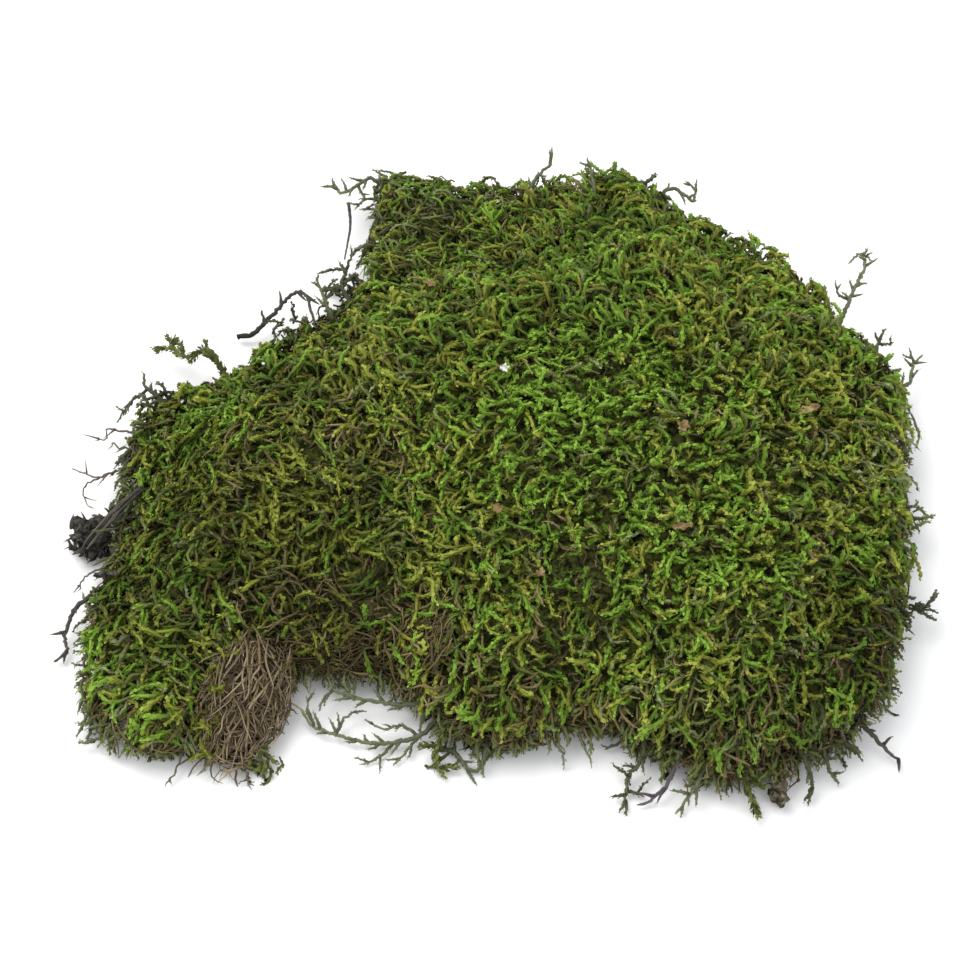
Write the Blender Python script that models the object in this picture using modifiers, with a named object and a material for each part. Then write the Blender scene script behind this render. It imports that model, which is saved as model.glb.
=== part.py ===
"""A hand-sized clump of carpet moss, torn off its rock and lying on its flat underside.

The clump is a green mat, a lower sod behind a furrow at the back left and a wad of dead stems at
the front left. Loose fronds, twigs, bark and dry leaf bits stick out of it or lie on it.
Lengths are written in millimetres and turned into metres by MM. +Z is up, +X runs along the
clump's long side, -Y is its front, and z = 0 is the flat underside.
"""

import math

import bmesh
import bpy
import numpy as np
from mathutils import Matrix, Vector, noise
from mathutils.bvhtree import BVHTree

MM = 0.001
GAP = 0.3 * MM  # left between pieces that touch
WELD = 0.05 * MM

# The green mat, seen from above, from its front left corner round to the left.
MAT_OUTLINE = [
    (-79, -49), (-73, -56), (-60, -61), (-57, -52), (-55, -44), (-50, -39), (-42, -39),
    (-37, -43), (-29, -43), (-20, -43), (-15, -46), (-12, -51), (-6, -55), (1, -59.5), (11, -59),
    (20, -54.5), (28, -55), (34, -60.5), (43, -65), (54, -65), (64, -61), (75, -55), (81, -43),
    (85.5, -25), (87.5, -5), (90, 18), (88, 31), (80, 40), (73, 51), (63, 62), (50.5, 71.5),
    (40, 80), (28, 86.5), (23, 80), (16, 72), (9, 66), (1, 62), (-11, 60), (-24, 58), (-31, 50),
    (-43, 43), (-54, 31), (-67, 26), (-75, 18), (-76, 4), (-76, -15), (-80, -30),
]
MAT_VOXEL = 6.5
MAT_RIM = 9.0  # height of the rim at the left end
MAT_RIM_SLOPE = 0.04  # rise of the rim for each millimetre to the right
MAT_CROWN = 20.0
MAT_SHOULDER = 26.0  # distance from the rim over which the top reaches its full height
# Hummocks (+) and hollows (-) on the mat: x, y, radius, height.
MAT_RELIEF = [
    (34, 8, 38, 7.0),
    (8, 42, 24, 4.0),
    (50, -34, 22, 3.0),
    (-58, -22, 20, 2.5),
    (-20, 18, 20, 2.0),
    (34, 66, 16, 2.0),
    (-36, -24, 13, -5.0),
    (16, 30, 9, -2.5),
    (-8, 58, 12, -3.0),
    (70, -38, 12, -2.0),
]

# The sod behind the furrow.
SOD_OUTLINE = [
    (-24.5, 59), (-11, 61), (1, 63), (9, 67), (16, 73), (22, 80.5), (22, 85.5), (8, 85),
    (-2, 85), (-12, 87), (-22, 87), (-24.5, 78),
]
SOD_VOXEL = 4.5
SOD_RIM = 9.5
SOD_CROWN = 12.5
SOD_SHOULDER = 8.0

# The wad of dead stems: thick where it joins the mat, thin at its torn front edge.
WAD_OUTLINE = [
    (-57, -59), (-51, -63), (-45, -61), (-43, -56), (-39, -54), (-39, -48), (-38, -43),
    (-43, -38), (-50, -38), (-56, -44), (-58, -52),
]
WAD_VOXEL = 3.5
WAD_BACK_Y = -40
WAD_BACK_HEIGHT = 12.0
WAD_FRONT_HEIGHT = 4.0
WAD_LENGTH = 21.0

UNDERCUT = 2.5  # how far each sod's wall draws in at the floor
LUMP_SIZE = 14.0  # size of the small lumps all over the mat
LUMP_HEIGHT = 1.2

# Loose pieces: material, radius, the piece that each grows out of, and its branches. A branch is
# a list of (x, y, z) points, and branches that share a point are joined there.
LOOSE_STEMS = {
    "notch_frond_low": ("dull_frond", 0.55, "moss_mat", [
        [(-9, -52, 4.5), (-13, -55, 2.5), (-18, -56, 1.5), (-23, -56, 1.5), (-29.5, -54.5, 2),
         (-34, -52.5, 2), (-36.5, -49.5, 2.5)],
        [(-29.5, -54.5, 2), (-28, -51.5, 3), (-25.5, -49.5, 3)],
        [(-34, -52.5, 2), (-35, -49.5, 3), (-35.5, -47, 3.5)],
        [(-13, -55, 2.5), (-16.5, -53, 3), (-20, -53.5, 2.5), (-22.5, -52, 2.5)],
        [(-18, -56, 1.5), (-21, -59, 1), (-24.5, -60.5, 1)],
        [(-13, -55, 2.5), (-16, -58.5, 1.2), (-18, -61, 1)],
    ]),
    "notch_frond_high": ("dull_frond", 0.6, "moss_mat", [
        [(-10, -49, 6), (-16, -49.5, 5), (-21, -48.5, 4.5), (-26, -47.5, 4.5), (-30, -45.5, 4.5),
         (-31.5, -42, 5)],
        [(-30, -45.5, 4.5), (-32, -47.5, 3.5), (-33, -49.5, 2.5)],
    ]),
    "front_shoot": ("green_shoot", 0.7, "moss_mat", [
        [(-7, -51, 7), (-9, -57, 4), (-9.5, -60.5, 2), (-8, -63.5, 1)],
    ]),
    "front_loop": ("dull_frond", 0.5, "moss_mat", [
        [(-9, -57, 1), (-7, -57.5, 1.5), (-5, -59.5, 1.5), (-3.5, -61.5, 1), (-1.5, -62, 1),
         (0, -60.5, 2), (0.5, -57.5, 4)],
        [(-5, -59.5, 1.5), (-6, -61, 1)],
    ]),
    "corner_frond": ("dark_frond", 0.6, "moss_mat", [
        [(31.5, -54.5, 7), (30.5, -61, 4), (28, -64, 2.5), (27.5, -66.5, 1.5), (27, -69, 1.2),
         (26, -71, 1)],
        [(28, -64, 2.5), (26.5, -62.5, 3)],
        [(27.5, -66.5, 1.5), (31, -67.5, 1)],
    ]),
    "corner_twig": ("purple_twig", 0.7, "moss_mat", [
        [(38.5, -60, 6), (36, -65.5, 4), (34, -67.5, 2.5), (31.5, -69, 1.3), (29.5, -69.5, 1)],
    ]),
    "corner_shoot": ("dull_frond", 0.55, "moss_mat", [
        [(43, -63, 6), (41, -67, 4), (39, -69, 2), (37, -71.5, 1)],
    ]),
    "fringe_shoot": ("green_shoot", 0.6, "moss_mat", [
        [(50, -63, 6), (51.5, -68.5, 3), (53, -71.5, 1)],
    ]),
    "hanging_shoot_left": ("dark_frond", 0.6, "moss_mat", [
        [(60, -58, 8), (63, -64.5, 5), (63.5, -66.5, 2.5), (62, -69, 1)],
    ]),
    "hanging_shoot_right": ("dark_frond", 0.45, "moss_mat", [
        [(65, -56, 7), (67, -63, 4), (69, -65, 1)],
    ]),
    "corner_spur": ("dark_twig", 0.6, "moss_mat", [
        [(72.5, -52.5, 6.5), (78, -57.5, 3), (81.5, -60, 1)],
        [(78, -57.5, 3), (80, -56, 4)],
    ]),
    "right_frond": ("dull_frond", 0.8, "moss_mat", [
        [(76, 41, 8), (80, 51, 8), (82, 56, 7.5), (84.5, 61.5, 6.5), (84, 66, 6),
         (81, 62.5, 7)],
        [(80, 51, 8), (77.5, 53, 8), (78.5, 55, 9)],
        [(84, 66, 6), (87, 65, 5)],
    ]),
    "right_tuft": ("dull_frond", 0.8, "moss_mat", [
        [(86, 26, 8), (91, 29, 6.5), (92, 32.5, 6), (93, 35, 6), (95, 37.5, 6)],
        [(93, 35, 6), (92, 38.5, 7)],
    ]),
    "right_twiglet": ("dark_frond", 0.5, "moss_mat", [
        [(83, 32, 8), (85, 38, 9), (84.5, 40.5, 10)],
        [(85, 38, 9), (88.5, 38, 9)],
    ]),
    "hooked_tuft": ("dull_frond", 0.5, "moss_mat", [
        [(37, 77, 10), (41.5, 81, 11), (44.5, 79.5, 11), (47, 78, 10), (47, 80, 12),
         (45, 81, 13.5)],
    ]),
    "top_spike_left": ("dull_frond", 0.55, "back_sod", [
        [(9, 79, 10), (12, 84.5, 11.5), (15, 86, 14), (14.5, 87, 17)],
    ]),
    "top_spike_right": ("dull_frond", 0.5, "moss_mat", [
        [(25, 77, 11), (24, 83, 14), (23, 85, 17)],
    ]),
    "back_left_frond": ("dull_frond", 0.55, "back_sod", [
        [(-21, 82, 8), (-26, 86, 9), (-29, 84.5, 8), (-31, 84, 7), (-33, 85, 5),
         (-34.5, 88, 4), (-37, 88.5, 3)],
        [(-29, 84.5, 8), (-27.5, 81, 8), (-29.5, 79, 6)],
    ]),
    "dark_stalk": ("purple_stalk", 0.35, "moss_mat", [
        [(-31, 82, 5), (-30.5, 76, 4.5), (-31, 70, 4.5), (-31.5, 65.5, 4.5)],
    ]),
    "back_left_tuft": ("dark_frond", 0.85, "moss_mat", [
        [(-28, 47, 9), (-31.5, 55, 8), (-31, 60.5, 6.5), (-33.5, 62, 5.5), (-37.5, 62, 4)],
        [(-31, 60.5, 6.5), (-30, 64, 6.5), (-29, 66.5, 7.5)],
        [(-31.5, 55, 8), (-36, 53.5, 5)],
    ]),
    "back_twig": ("dark_twig", 0.75, "moss_mat", [
        [(-54.5, 45.5, 2), (-51, 46, 2.5), (-48.5, 48, 4), (-43, 53, 7), (-41, 53.5, 8),
         (-39, 51, 9), (-37, 43, 9)],
        [(-48.5, 48, 4), (-49.5, 51, 5)],
    ]),
    "back_shoot": ("dull_frond", 0.5, "moss_mat", [
        [(-33, 44, 10), (-35.5, 50, 12), (-36.5, 52, 13.5), (-36, 52.5, 15)],
    ]),
    "left_leafy_shoot": ("green_shoot", 1.1, "moss_mat", [
        [(-55, 28, 9), (-58.5, 34.5, 9.5), (-61, 36.5, 8.5), (-65, 36, 7), (-68.5, 39, 6),
         (-72.5, 40, 5)],
        [(-68.5, 39, 6), (-67, 41.5, 7)],
    ]),
    "left_tuft": ("dark_frond", 0.8, "moss_mat", [
        [(-67, 22, 8), (-72, 25.5, 9.5), (-73, 28.5, 11.5)],
        [(-72, 25.5, 9.5), (-76, 23.5, 7), (-78.5, 20.5, 4.5)],
    ]),
    "left_squiggle": ("fine_stem", 0.3, "moss_mat", [
        [(-73, 17, 4.5), (-79, 19.5, 3), (-81, 19.5, 3), (-81, 17.5, 2.5), (-83.5, 17.5, 2)],
    ]),
    "left_fine_stem": ("fine_stem", 0.45, "moss_mat", [
        [(-74, 7.5, 6), (-79, 6, 6), (-81, 5.5, 5), (-84, 7, 4), (-87.5, 9.5, 3)],
        [(-81, 5.5, 5), (-84.5, 4, 3.5), (-83.5, 0.5, 3), (-82, -1, 3)],
    ]),
    "left_hook": ("fine_stem", 0.45, "moss_mat", [
        [(-71, 11.5, 7), (-77.5, 12, 7), (-78.5, 13.5, 6.5), (-79.5, 12.5, 5.5)],
    ]),
    "left_hair": ("fine_stem", 0.3, "moss_mat", [
        [(-75, -15.5, 5), (-80.5, -17.5, 4), (-82.5, -18.5, 3), (-83.5, -21, 2)],
    ]),
    "left_dark_stem": ("dark_twig", 0.5, "moss_mat", [
        [(-77, -22, 6), (-83, -26, 4), (-85, -31.5, 2.5), (-84.5, -35, 2), (-87, -37.5, 1.2)],
        [(-84.5, -35, 2), (-85, -37.5, 1)],
    ]),
    "front_left_tip": ("fine_stem", 0.4, "moss_mat", [
        [(-59, -58, 4), (-60.5, -62.5, 2), (-62.5, -65.5, 1)],
    ]),
    "wad_tip": ("fine_stem", 0.4, "thatch_wad", [
        [(-47, -59, 3), (-46.5, -64, 1.3), (-45.5, -66, 1)],
        [(-46.5, -64, 1.3), (-48.5, -65, 1)],
    ]),
}
TIP_TAPER = 0.6  # radius at a free tip over the radius of the stem

# Flat bits: outline, thickness, where the middle goes, turn and tilt in degrees.
BARK_FLAKE_OUTLINE = [(-4, 5), (0, 4.5), (3, 5), (6, 1), (5, -4), (1, -6), (-2, -4), (-4.5, -1)]
BARK_FLAKE_THICKNESS = 3.2
BARK_FLAKE_PLACE = (-82.5, -8, 3.2)
BARK_FLAKE_TILT = 14
BARK_STRIP_ROUTE = [(-73, -2, 11.5), (-77, -4, 9.5), (-80, -8, 7.5), (-81.5, -12, 6.5)]
BARK_STRIP_RADII = (1.3, 0.45)
STICK_START = (-79.5, -20.5, 7.5)
STICK_END = (-74, -22.5, 11)
STICK_RADIUS = 0.55
LUMP_PLACE = (57, -68, 2.6)
LUMP_RADIUS = 2.3

LEAF_BIT_OUTLINE = [(-2.2, -0.4), (0, -0.9), (2.3, -0.2), (1.4, 0.8), (-1, 0.9)]
CRUMB_OUTLINE = [(-1.1, -0.7), (0.6, -1), (1.2, 0.2), (0.1, 1.1), (-1, 0.6)]
LITTER_THICKNESS = 0.4
LITTER_LIFT = 0.9  # above the mat's faces, so that a flat bit clears their edges
# Dry bits lying on the mat: outline, material, x, y, turn in degrees.
LITTER = {
    "leaf_bit_right": (LEAF_BIT_OUTLINE, "dry_leaf", 66, 9, 20),
    "leaf_bit_middle": (LEAF_BIT_OUTLINE, "dry_leaf", 40, 2, 75),
    "leaf_bit_back": (LEAF_BIT_OUTLINE, "dry_leaf", -12, 48, -35),
    "leaf_bit_front": (LEAF_BIT_OUTLINE, "dry_leaf", 39, -21, 5),
    "leaf_crumb_left": (CRUMB_OUTLINE, "dry_leaf", 2.5, -15, 110),
    "leaf_crumb_front": (CRUMB_OUTLINE, "dry_leaf", 11, -29.5, 45),
    "white_fleck": (CRUMB_OUTLINE, "white_crumb", 4, 18, 10),
}

# Colour and roughness of each material.
MATERIALS = {
    "green_moss": ((0.10, 0.16, 0.02), 0.75),
    "olive_moss": ((0.07, 0.10, 0.03), 0.8),
    "dead_thatch": ((0.12, 0.08, 0.04), 0.9),
    "green_shoot": ((0.13, 0.20, 0.03), 0.7),
    "dull_frond": ((0.11, 0.13, 0.07), 0.8),
    "dark_frond": ((0.05, 0.06, 0.03), 0.85),
    "purple_twig": ((0.06, 0.04, 0.05), 0.7),
    "purple_stalk": ((0.05, 0.03, 0.06), 0.5),
    "dark_twig": ((0.03, 0.025, 0.02), 0.85),
    "fine_stem": ((0.12, 0.10, 0.08), 0.8),
    "bark": ((0.035, 0.03, 0.025), 0.9),
    "grey_bark": ((0.12, 0.10, 0.08), 0.9),
    "soil_crumb": ((0.04, 0.03, 0.02), 0.95),
    "dry_leaf": ((0.45, 0.28, 0.14), 0.8),
    "white_crumb": ((0.75, 0.75, 0.70), 0.7),
}


def start_scene():
    for old in list(bpy.data.objects):
        bpy.data.objects.remove(old)
    collections = []
    for title in ("moss_clump", "cutters"):
        collection = bpy.data.collections.new(title)
        bpy.context.scene.collection.children.link(collection)
        collections.append(collection)
    return collections


def principled(name):
    color, roughness = MATERIALS[name]
    material = bpy.data.materials.get(name)
    if material is None:
        material = bpy.data.materials.new(name)
        material.use_nodes = True
        shader = material.node_tree.nodes["Principled BSDF"]
        shader.inputs["Base Color"].default_value = (*color, 1)
        shader.inputs["Roughness"].default_value = roughness
        shader.inputs["Metallic"].default_value = 0
    return material


def evaluated_mesh(obj):
    """The object's mesh with its modifiers applied and its loose caps welded on."""
    bpy.context.view_layer.update()
    graph = bpy.context.evaluated_depsgraph_get()
    mesh = bpy.data.meshes.new_from_object(obj.evaluated_get(graph))
    shape = bmesh.new()
    shape.from_mesh(mesh)
    bmesh.ops.remove_doubles(shape, verts=shape.verts, dist=WELD)
    shape.to_mesh(mesh)
    shape.free()
    return mesh


def baked(obj, collection, material_name):
    """Replaces an object by a plain mesh object of what it evaluates to."""
    name = obj.name
    mesh = evaluated_mesh(obj)
    place = obj.matrix_world.copy()
    bpy.data.objects.remove(obj)
    result = bpy.data.objects.new(name, mesh)
    result.matrix_world = place
    collection.objects.link(result)
    mesh.materials.clear()
    mesh.materials.append(principled(material_name))
    mesh.shade_smooth()
    mesh.set_sharp_from_angle(angle=math.radians(50))
    return result


def flat_plate(name, outline, thickness, collection, material_name, rounded=True):
    """A plate of an outline in millimetres, its middle at half its thickness."""
    curve = bpy.data.curves.new(name, "CURVE")
    curve.dimensions = "2D"
    curve.fill_mode = "BOTH"
    curve.extrude = thickness * MM / 2
    curve.resolution_u = 3 if rounded else 1
    spline = curve.splines.new("BEZIER")
    spline.bezier_points.add(len(outline) - 1)
    for point, (x, y) in zip(spline.bezier_points, outline):
        point.co = (x * MM, y * MM, 0)
        point.handle_left_type = point.handle_right_type = "AUTO" if rounded else "VECTOR"
    spline.use_cyclic_u = True
    plate = bpy.data.objects.new(name, curve)
    collection.objects.link(plate)
    return baked(plate, collection, material_name)


def rim_distance(x, y, outline):
    """How far a point lies from the nearest side of an outline, in millimetres."""
    corners = np.array(outline, float)
    sides = np.roll(corners, -1, axis=0) - corners
    offsets = np.array([x, y]) - corners
    along = np.clip((offsets * sides).sum(axis=1) / (sides**2).sum(axis=1), 0, 1)
    nearest = corners + sides * along[:, None]
    return float(np.hypot(x - nearest[:, 0], y - nearest[:, 1]).min())


def ease(value):
    value = min(max(value, 0), 1)
    return value * value * (3 - 2 * value)


def small_lumps(x, y):
    return LUMP_HEIGHT * noise.noise(Vector((x / LUMP_SIZE, y / LUMP_SIZE, 0)))


def mat_height(x, y, inside):
    rim = MAT_RIM + MAT_RIM_SLOPE * (x + 80)
    relief = sum(
        height * math.exp(-((x - cx) ** 2 + (y - cy) ** 2) / radius**2)
        for cx, cy, radius, height in MAT_RELIEF
    )
    top = MAT_CROWN + relief
    return rim + (top - rim) * ease(inside / MAT_SHOULDER) + small_lumps(x, y)


def sod_height(x, y, inside):
    return SOD_RIM + (SOD_CROWN - SOD_RIM) * ease(inside / SOD_SHOULDER) + small_lumps(x, y)


def wad_height(x, y, inside):
    forward = (WAD_BACK_Y - y) / WAD_LENGTH
    return WAD_BACK_HEIGHT + (WAD_FRONT_HEIGHT - WAD_BACK_HEIGHT) * min(max(forward, 0), 1)


def sod_solid(name, outline, voxel, height_of, collection, material_name):
    """A closed pillow on a flat base: a remeshed plate, pulled up to the height it has there."""
    layers = 3
    thickness = voxel * layers
    plate = flat_plate(name, outline, thickness, collection, material_name)
    plate.location.z = thickness * MM / 2
    remesh = plate.modifiers.new("even_faces", "REMESH")
    remesh.mode = "VOXEL"
    remesh.voxel_size = voxel * MM
    sod = baked(plate, collection, material_name)
    lift = sod.location.z / MM
    middle = np.mean(np.array(outline, float), axis=0)
    heights = [vertex.co.z / MM + lift for vertex in sod.data.vertices]
    low, high = min(heights), max(heights)
    for vertex, height in zip(sod.data.vertices, heights):
        level = (height - low) / (high - low)
        level = 0 if level < 0.5 / layers else level
        x, y = vertex.co.x / MM, vertex.co.y / MM
        inside = rim_distance(x, y, outline)
        draw_in = UNDERCUT * (1 - level) ** 2 * math.exp(-inside / voxel)
        inward = Vector((middle[0] - x, middle[1] - y)).normalized() * draw_in
        top = height_of(x, y, inside)
        vertex.co = ((x + inward.x) * MM, (y + inward.y) * MM, level * top * MM)
    sod.location = (0, 0, 0)
    return sod


def clearance_cutter(solid, cutters):
    """A copy of a solid that is one gap larger all over, to trim what grows out of it."""
    cutter = bpy.data.objects.new(solid.name + "_clearance", solid.data.copy())
    cutters.objects.link(cutter)
    cutter.hide_render = True
    cutter.display_type = "WIRE"
    swell = cutter.modifiers.new("gap", "DISPLACE")
    swell.mid_level = 0
    swell.strength = GAP * 1.3
    return cutter


def keep_largest_piece(mesh):
    """Deletes the offcuts that a trim leaves inside the solid it was trimmed against."""
    shape = bmesh.new()
    shape.from_mesh(mesh)
    shape.faces.ensure_lookup_table()
    pieces, seen = [], set()
    for face in shape.faces:
        if face in seen:
            continue
        piece, waiting = [], [face]
        seen.add(face)
        while waiting:
            current = waiting.pop()
            piece.append(current)
            for edge in current.edges:
                for other in edge.link_faces:
                    if other not in seen:
                        seen.add(other)
                        waiting.append(other)
        pieces.append(piece)
    largest = max(pieces, key=lambda piece: sum(face.calc_area() for face in piece))
    offcuts = [face for piece in pieces if piece is not largest for face in piece]
    bmesh.ops.delete(shape, geom=offcuts, context="FACES")
    shape.to_mesh(mesh)
    shape.free()


def trim(piece, cutter_list, collection, material_name):
    for cutter in cutter_list:
        cut = piece.modifiers.new("trim_" + cutter.name, "BOOLEAN")
        cut.operation = "DIFFERENCE"
        cut.solver = "EXACT"
        cut.object = cutter
    trimmed = baked(piece, collection, material_name)
    keep_largest_piece(trimmed.data)
    return trimmed


def skinned_stem(name, branches, radii, collection, material_name):
    """A branching stem: a skeleton of edges with a Skin round it."""
    index, edges = {}, []
    for branch in branches:
        for point in branch:
            index.setdefault(point, len(index))
        edges += [(index[a], index[b]) for a, b in zip(branch, branch[1:])]
    mesh = bpy.data.meshes.new(name)
    mesh.from_pydata([[value * MM for value in point] for point in index], edges, [])
    stem = bpy.data.objects.new(name, mesh)
    collection.objects.link(stem)
    skin = stem.modifiers.new("stem", "SKIN")
    skin.branch_smoothing = 0.3
    skin.use_smooth_shade = True
    free_tips = {index[branch[-1]] for branch in branches}
    for number, vertex in enumerate(mesh.skin_vertices[0].data):
        taper = TIP_TAPER if number in free_tips else 1
        vertex.radius = [radius * taper * MM for radius in radii]
        vertex.use_root = number == 0
    return baked(stem, collection, material_name)


def surface_point(solid, x, y):
    """The point and the upward normal of a solid's top above a place, in metres."""
    tree = BVHTree.FromObject(solid, bpy.context.evaluated_depsgraph_get())
    from_above = Vector((x * MM, y * MM, 1))
    point, normal, _, _ = tree.ray_cast(from_above, Vector((0, 0, -1)))
    return point, normal


def lay_on(bit, solid, x, y, turn):
    point, normal = surface_point(solid, x, y)
    upright = normal.to_track_quat("Z", "Y").to_matrix().to_4x4()
    spin = Matrix.Rotation(math.radians(turn), 4, "Z")
    bit.matrix_world = Matrix.Translation(point + normal * LITTER_LIFT * MM) @ upright @ spin


def build():
    clump, cutters = start_scene()
    mat = sod_solid("moss_mat", MAT_OUTLINE, MAT_VOXEL, mat_height, clump, "green_moss")
    sod = sod_solid("back_sod", SOD_OUTLINE, SOD_VOXEL, sod_height, clump, "olive_moss")
    wad = sod_solid("thatch_wad", WAD_OUTLINE, WAD_VOXEL, wad_height, clump, "dead_thatch")
    clearance = {solid.name: clearance_cutter(solid, cutters) for solid in (mat, sod, wad)}
    sod = trim(sod, [clearance["moss_mat"]], clump, "olive_moss")
    wad = trim(wad, [clearance["moss_mat"]], clump, "dead_thatch")

    for name, (material_name, radius, host, branches) in LOOSE_STEMS.items():
        stem = skinned_stem(name, branches, (radius, radius), clump, material_name)
        trim(stem, [clearance[host]], clump, material_name)

    flake = flat_plate(
        "bark_flake", BARK_FLAKE_OUTLINE, BARK_FLAKE_THICKNESS, clump, "bark", rounded=False
    )
    flake.location = [value * MM for value in BARK_FLAKE_PLACE]
    flake.rotation_euler.y = math.radians(BARK_FLAKE_TILT)
    trim(flake, [clearance["moss_mat"]], clump, "bark")

    strip = skinned_stem("bark_strip", [BARK_STRIP_ROUTE], BARK_STRIP_RADII, clump, "grey_bark")
    trim(strip, [clearance["moss_mat"]], clump, "grey_bark")

    stick = skinned_stem(
        "dark_stick", [[STICK_START, STICK_END]], (STICK_RADIUS, STICK_RADIUS), clump, "dark_twig"
    )
    trim(stick, [clearance["moss_mat"]], clump, "dark_twig")

    bpy.ops.mesh.primitive_ico_sphere_add(subdivisions=2, radius=LUMP_RADIUS * MM)
    lump = bpy.context.object
    lump.name = "soil_crumb"
    lump.location = [value * MM for value in LUMP_PLACE]
    lump = baked(lump, clump, "soil_crumb")
    trim(lump, [clearance["moss_mat"]], clump, "soil_crumb")

    for name, (outline, material_name, x, y, turn) in LITTER.items():
        bit = flat_plate(name, outline, LITTER_THICKNESS, clump, material_name, rounded=False)
        lay_on(bit, mat, x, y, turn)


build()
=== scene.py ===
"""The looks of the moss clump: leafy shoots, dead stems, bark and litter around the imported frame.

Lengths are in millimetres in the arrays and tables here, and in metres in the meshes, the lights
and the camera.
The clump lies on z = 0 with its front towards -Y.
"""

import math

import bmesh
import bpy
import numpy as np
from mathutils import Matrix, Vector, noise
from mathutils.bvhtree import BVHTree


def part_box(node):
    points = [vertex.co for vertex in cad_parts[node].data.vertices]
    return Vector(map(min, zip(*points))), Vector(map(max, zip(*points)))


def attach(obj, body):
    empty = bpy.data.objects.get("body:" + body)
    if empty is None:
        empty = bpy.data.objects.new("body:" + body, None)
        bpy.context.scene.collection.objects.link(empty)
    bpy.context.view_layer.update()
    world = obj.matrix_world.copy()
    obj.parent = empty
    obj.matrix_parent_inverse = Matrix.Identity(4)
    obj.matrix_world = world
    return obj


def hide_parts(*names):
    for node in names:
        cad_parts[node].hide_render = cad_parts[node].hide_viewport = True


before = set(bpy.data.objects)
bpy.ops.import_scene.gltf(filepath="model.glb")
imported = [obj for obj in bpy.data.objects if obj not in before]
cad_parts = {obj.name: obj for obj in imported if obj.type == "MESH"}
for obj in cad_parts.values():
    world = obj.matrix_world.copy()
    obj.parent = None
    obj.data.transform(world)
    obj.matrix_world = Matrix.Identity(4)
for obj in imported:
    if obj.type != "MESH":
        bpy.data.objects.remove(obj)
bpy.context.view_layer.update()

MM = 0.001
UP = np.array([0.0, 0.0, 1.0])
FLOOR_CLEARANCE = 0.15  # millimetres between the floor and the lowest strand
GOLDEN_ANGLE = 2.39996  # turn from each leaf to the next, in radians
TINT_WIDTH = 0.012  # how wide a strip of its palette a stem or half a leaf shows
UV_NAME = "OFBake"


# ---------------- meshes from arrays


def add_object(name, mesh, material):
    mesh.materials.append(material)
    mesh.shade_smooth()
    made = bpy.data.objects.new(name, mesh)
    bpy.context.scene.collection.objects.link(made)
    return made


class Strands:
    """Collects tubes and leaves as arrays, for one joined mesh.

    Each face carries a palette coordinate: u says which tint the shoot has, its own tone with any
    painted light and shade, and v how far along the shoot the face lies, from 0 at the root to 1 at the
    tip.
    """

    def __init__(self):
        self.points, self.corners, self.sizes, self.uvs = [], [], [], []
        self.count = 0

    def add(self, points, faces, uvs):
        """points (P, 3); faces (F, K) indices into points; uvs (F, K, 2)."""
        self.points.append(points.reshape(-1, 3))
        self.corners.append((faces + self.count).reshape(-1))
        self.sizes.append(np.full(len(faces), faces.shape[1]))
        self.uvs.append(uvs.reshape(-1, 2))
        self.count += len(self.points[-1])

    def triangles(self):
        return int(sum((sizes - 2).sum() for sizes in self.sizes))

    def piece(self, name, material):
        points = np.concatenate(self.points)
        points[:, 2] = np.maximum(points[:, 2], FLOOR_CLEARANCE)
        points = points * MM
        corners = np.concatenate(self.corners).astype(np.int32)
        sizes = np.concatenate(self.sizes)
        starts = np.concatenate([[0], np.cumsum(sizes)[:-1]]).astype(np.int32)
        mesh = bpy.data.meshes.new(name)
        mesh.vertices.add(len(points))
        mesh.vertices.foreach_set("co", points.astype(np.float32).reshape(-1))
        mesh.loops.add(len(corners))
        mesh.loops.foreach_set("vertex_index", corners)
        mesh.polygons.add(len(sizes))
        mesh.polygons.foreach_set("loop_start", starts)
        layer = mesh.uv_layers.new(name=UV_NAME)
        uvs = np.clip(np.concatenate(self.uvs), 0.001, 0.999)
        layer.data.foreach_set("uv", uvs.astype(np.float32).reshape(-1))
        mesh.update(calc_edges=True)
        return add_object(name, mesh, material)


def unit(vectors):
    """The vectors, each made one unit long."""
    return vectors / np.maximum(np.linalg.norm(vectors, axis=-1, keepdims=True), 1e-9)


def level_ways(heading):
    """Level unit vectors (N, 3) with the headings."""
    return np.stack([np.cos(heading), np.sin(heading), np.zeros_like(heading)], axis=1)


def smooth_route(points, rings):
    """A smooth curve (rings, 3) through the points of a route, evenly spaced along it."""
    points = np.array(points, float)
    ends = np.concatenate([[2 * points[0] - points[1]], points, [2 * points[-1] - points[-2]]])
    dense = []
    for before, start, end, after in zip(ends, ends[1:], ends[2:], ends[3:]):
        part = np.linspace(0, 1, 12, endpoint=False)[:, None]
        dense.append(0.5 * (
            2 * start + (end - before) * part
            + (2 * before - 5 * start + 4 * end - after) * part**2
            + (3 * start - before - 3 * end + after) * part**3
        ))
    dense = np.concatenate(dense + [points[-1:]])
    walked = np.concatenate([[0], np.cumsum(np.linalg.norm(np.diff(dense, axis=0), axis=1))])
    wanted = np.linspace(0, walked[-1], rings)
    return np.stack([np.interp(wanted, walked, dense[:, axis]) for axis in range(3)], axis=1)


def frames_along(paths):
    """Tangent, side and up vectors at each point of each path; paths is (N, R, 3)."""
    tangents = unit(np.gradient(paths, axis=1))
    first, last = tangents[:, 0], tangents[:, -1]
    reference = np.cross(first, last)
    straight = np.linalg.norm(reference, axis=1) < 0.25
    steep = np.abs(tangents[:, tangents.shape[1] // 2, 2]) > 0.8
    level = np.where(steep[:, None], [1.0, 0.0, 0.0], UP)
    reference = unit(np.where(straight[:, None], level, reference))[:, None, :]
    side = unit(np.cross(tangents, reference))
    return tangents, side, np.cross(side, tangents)


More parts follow.
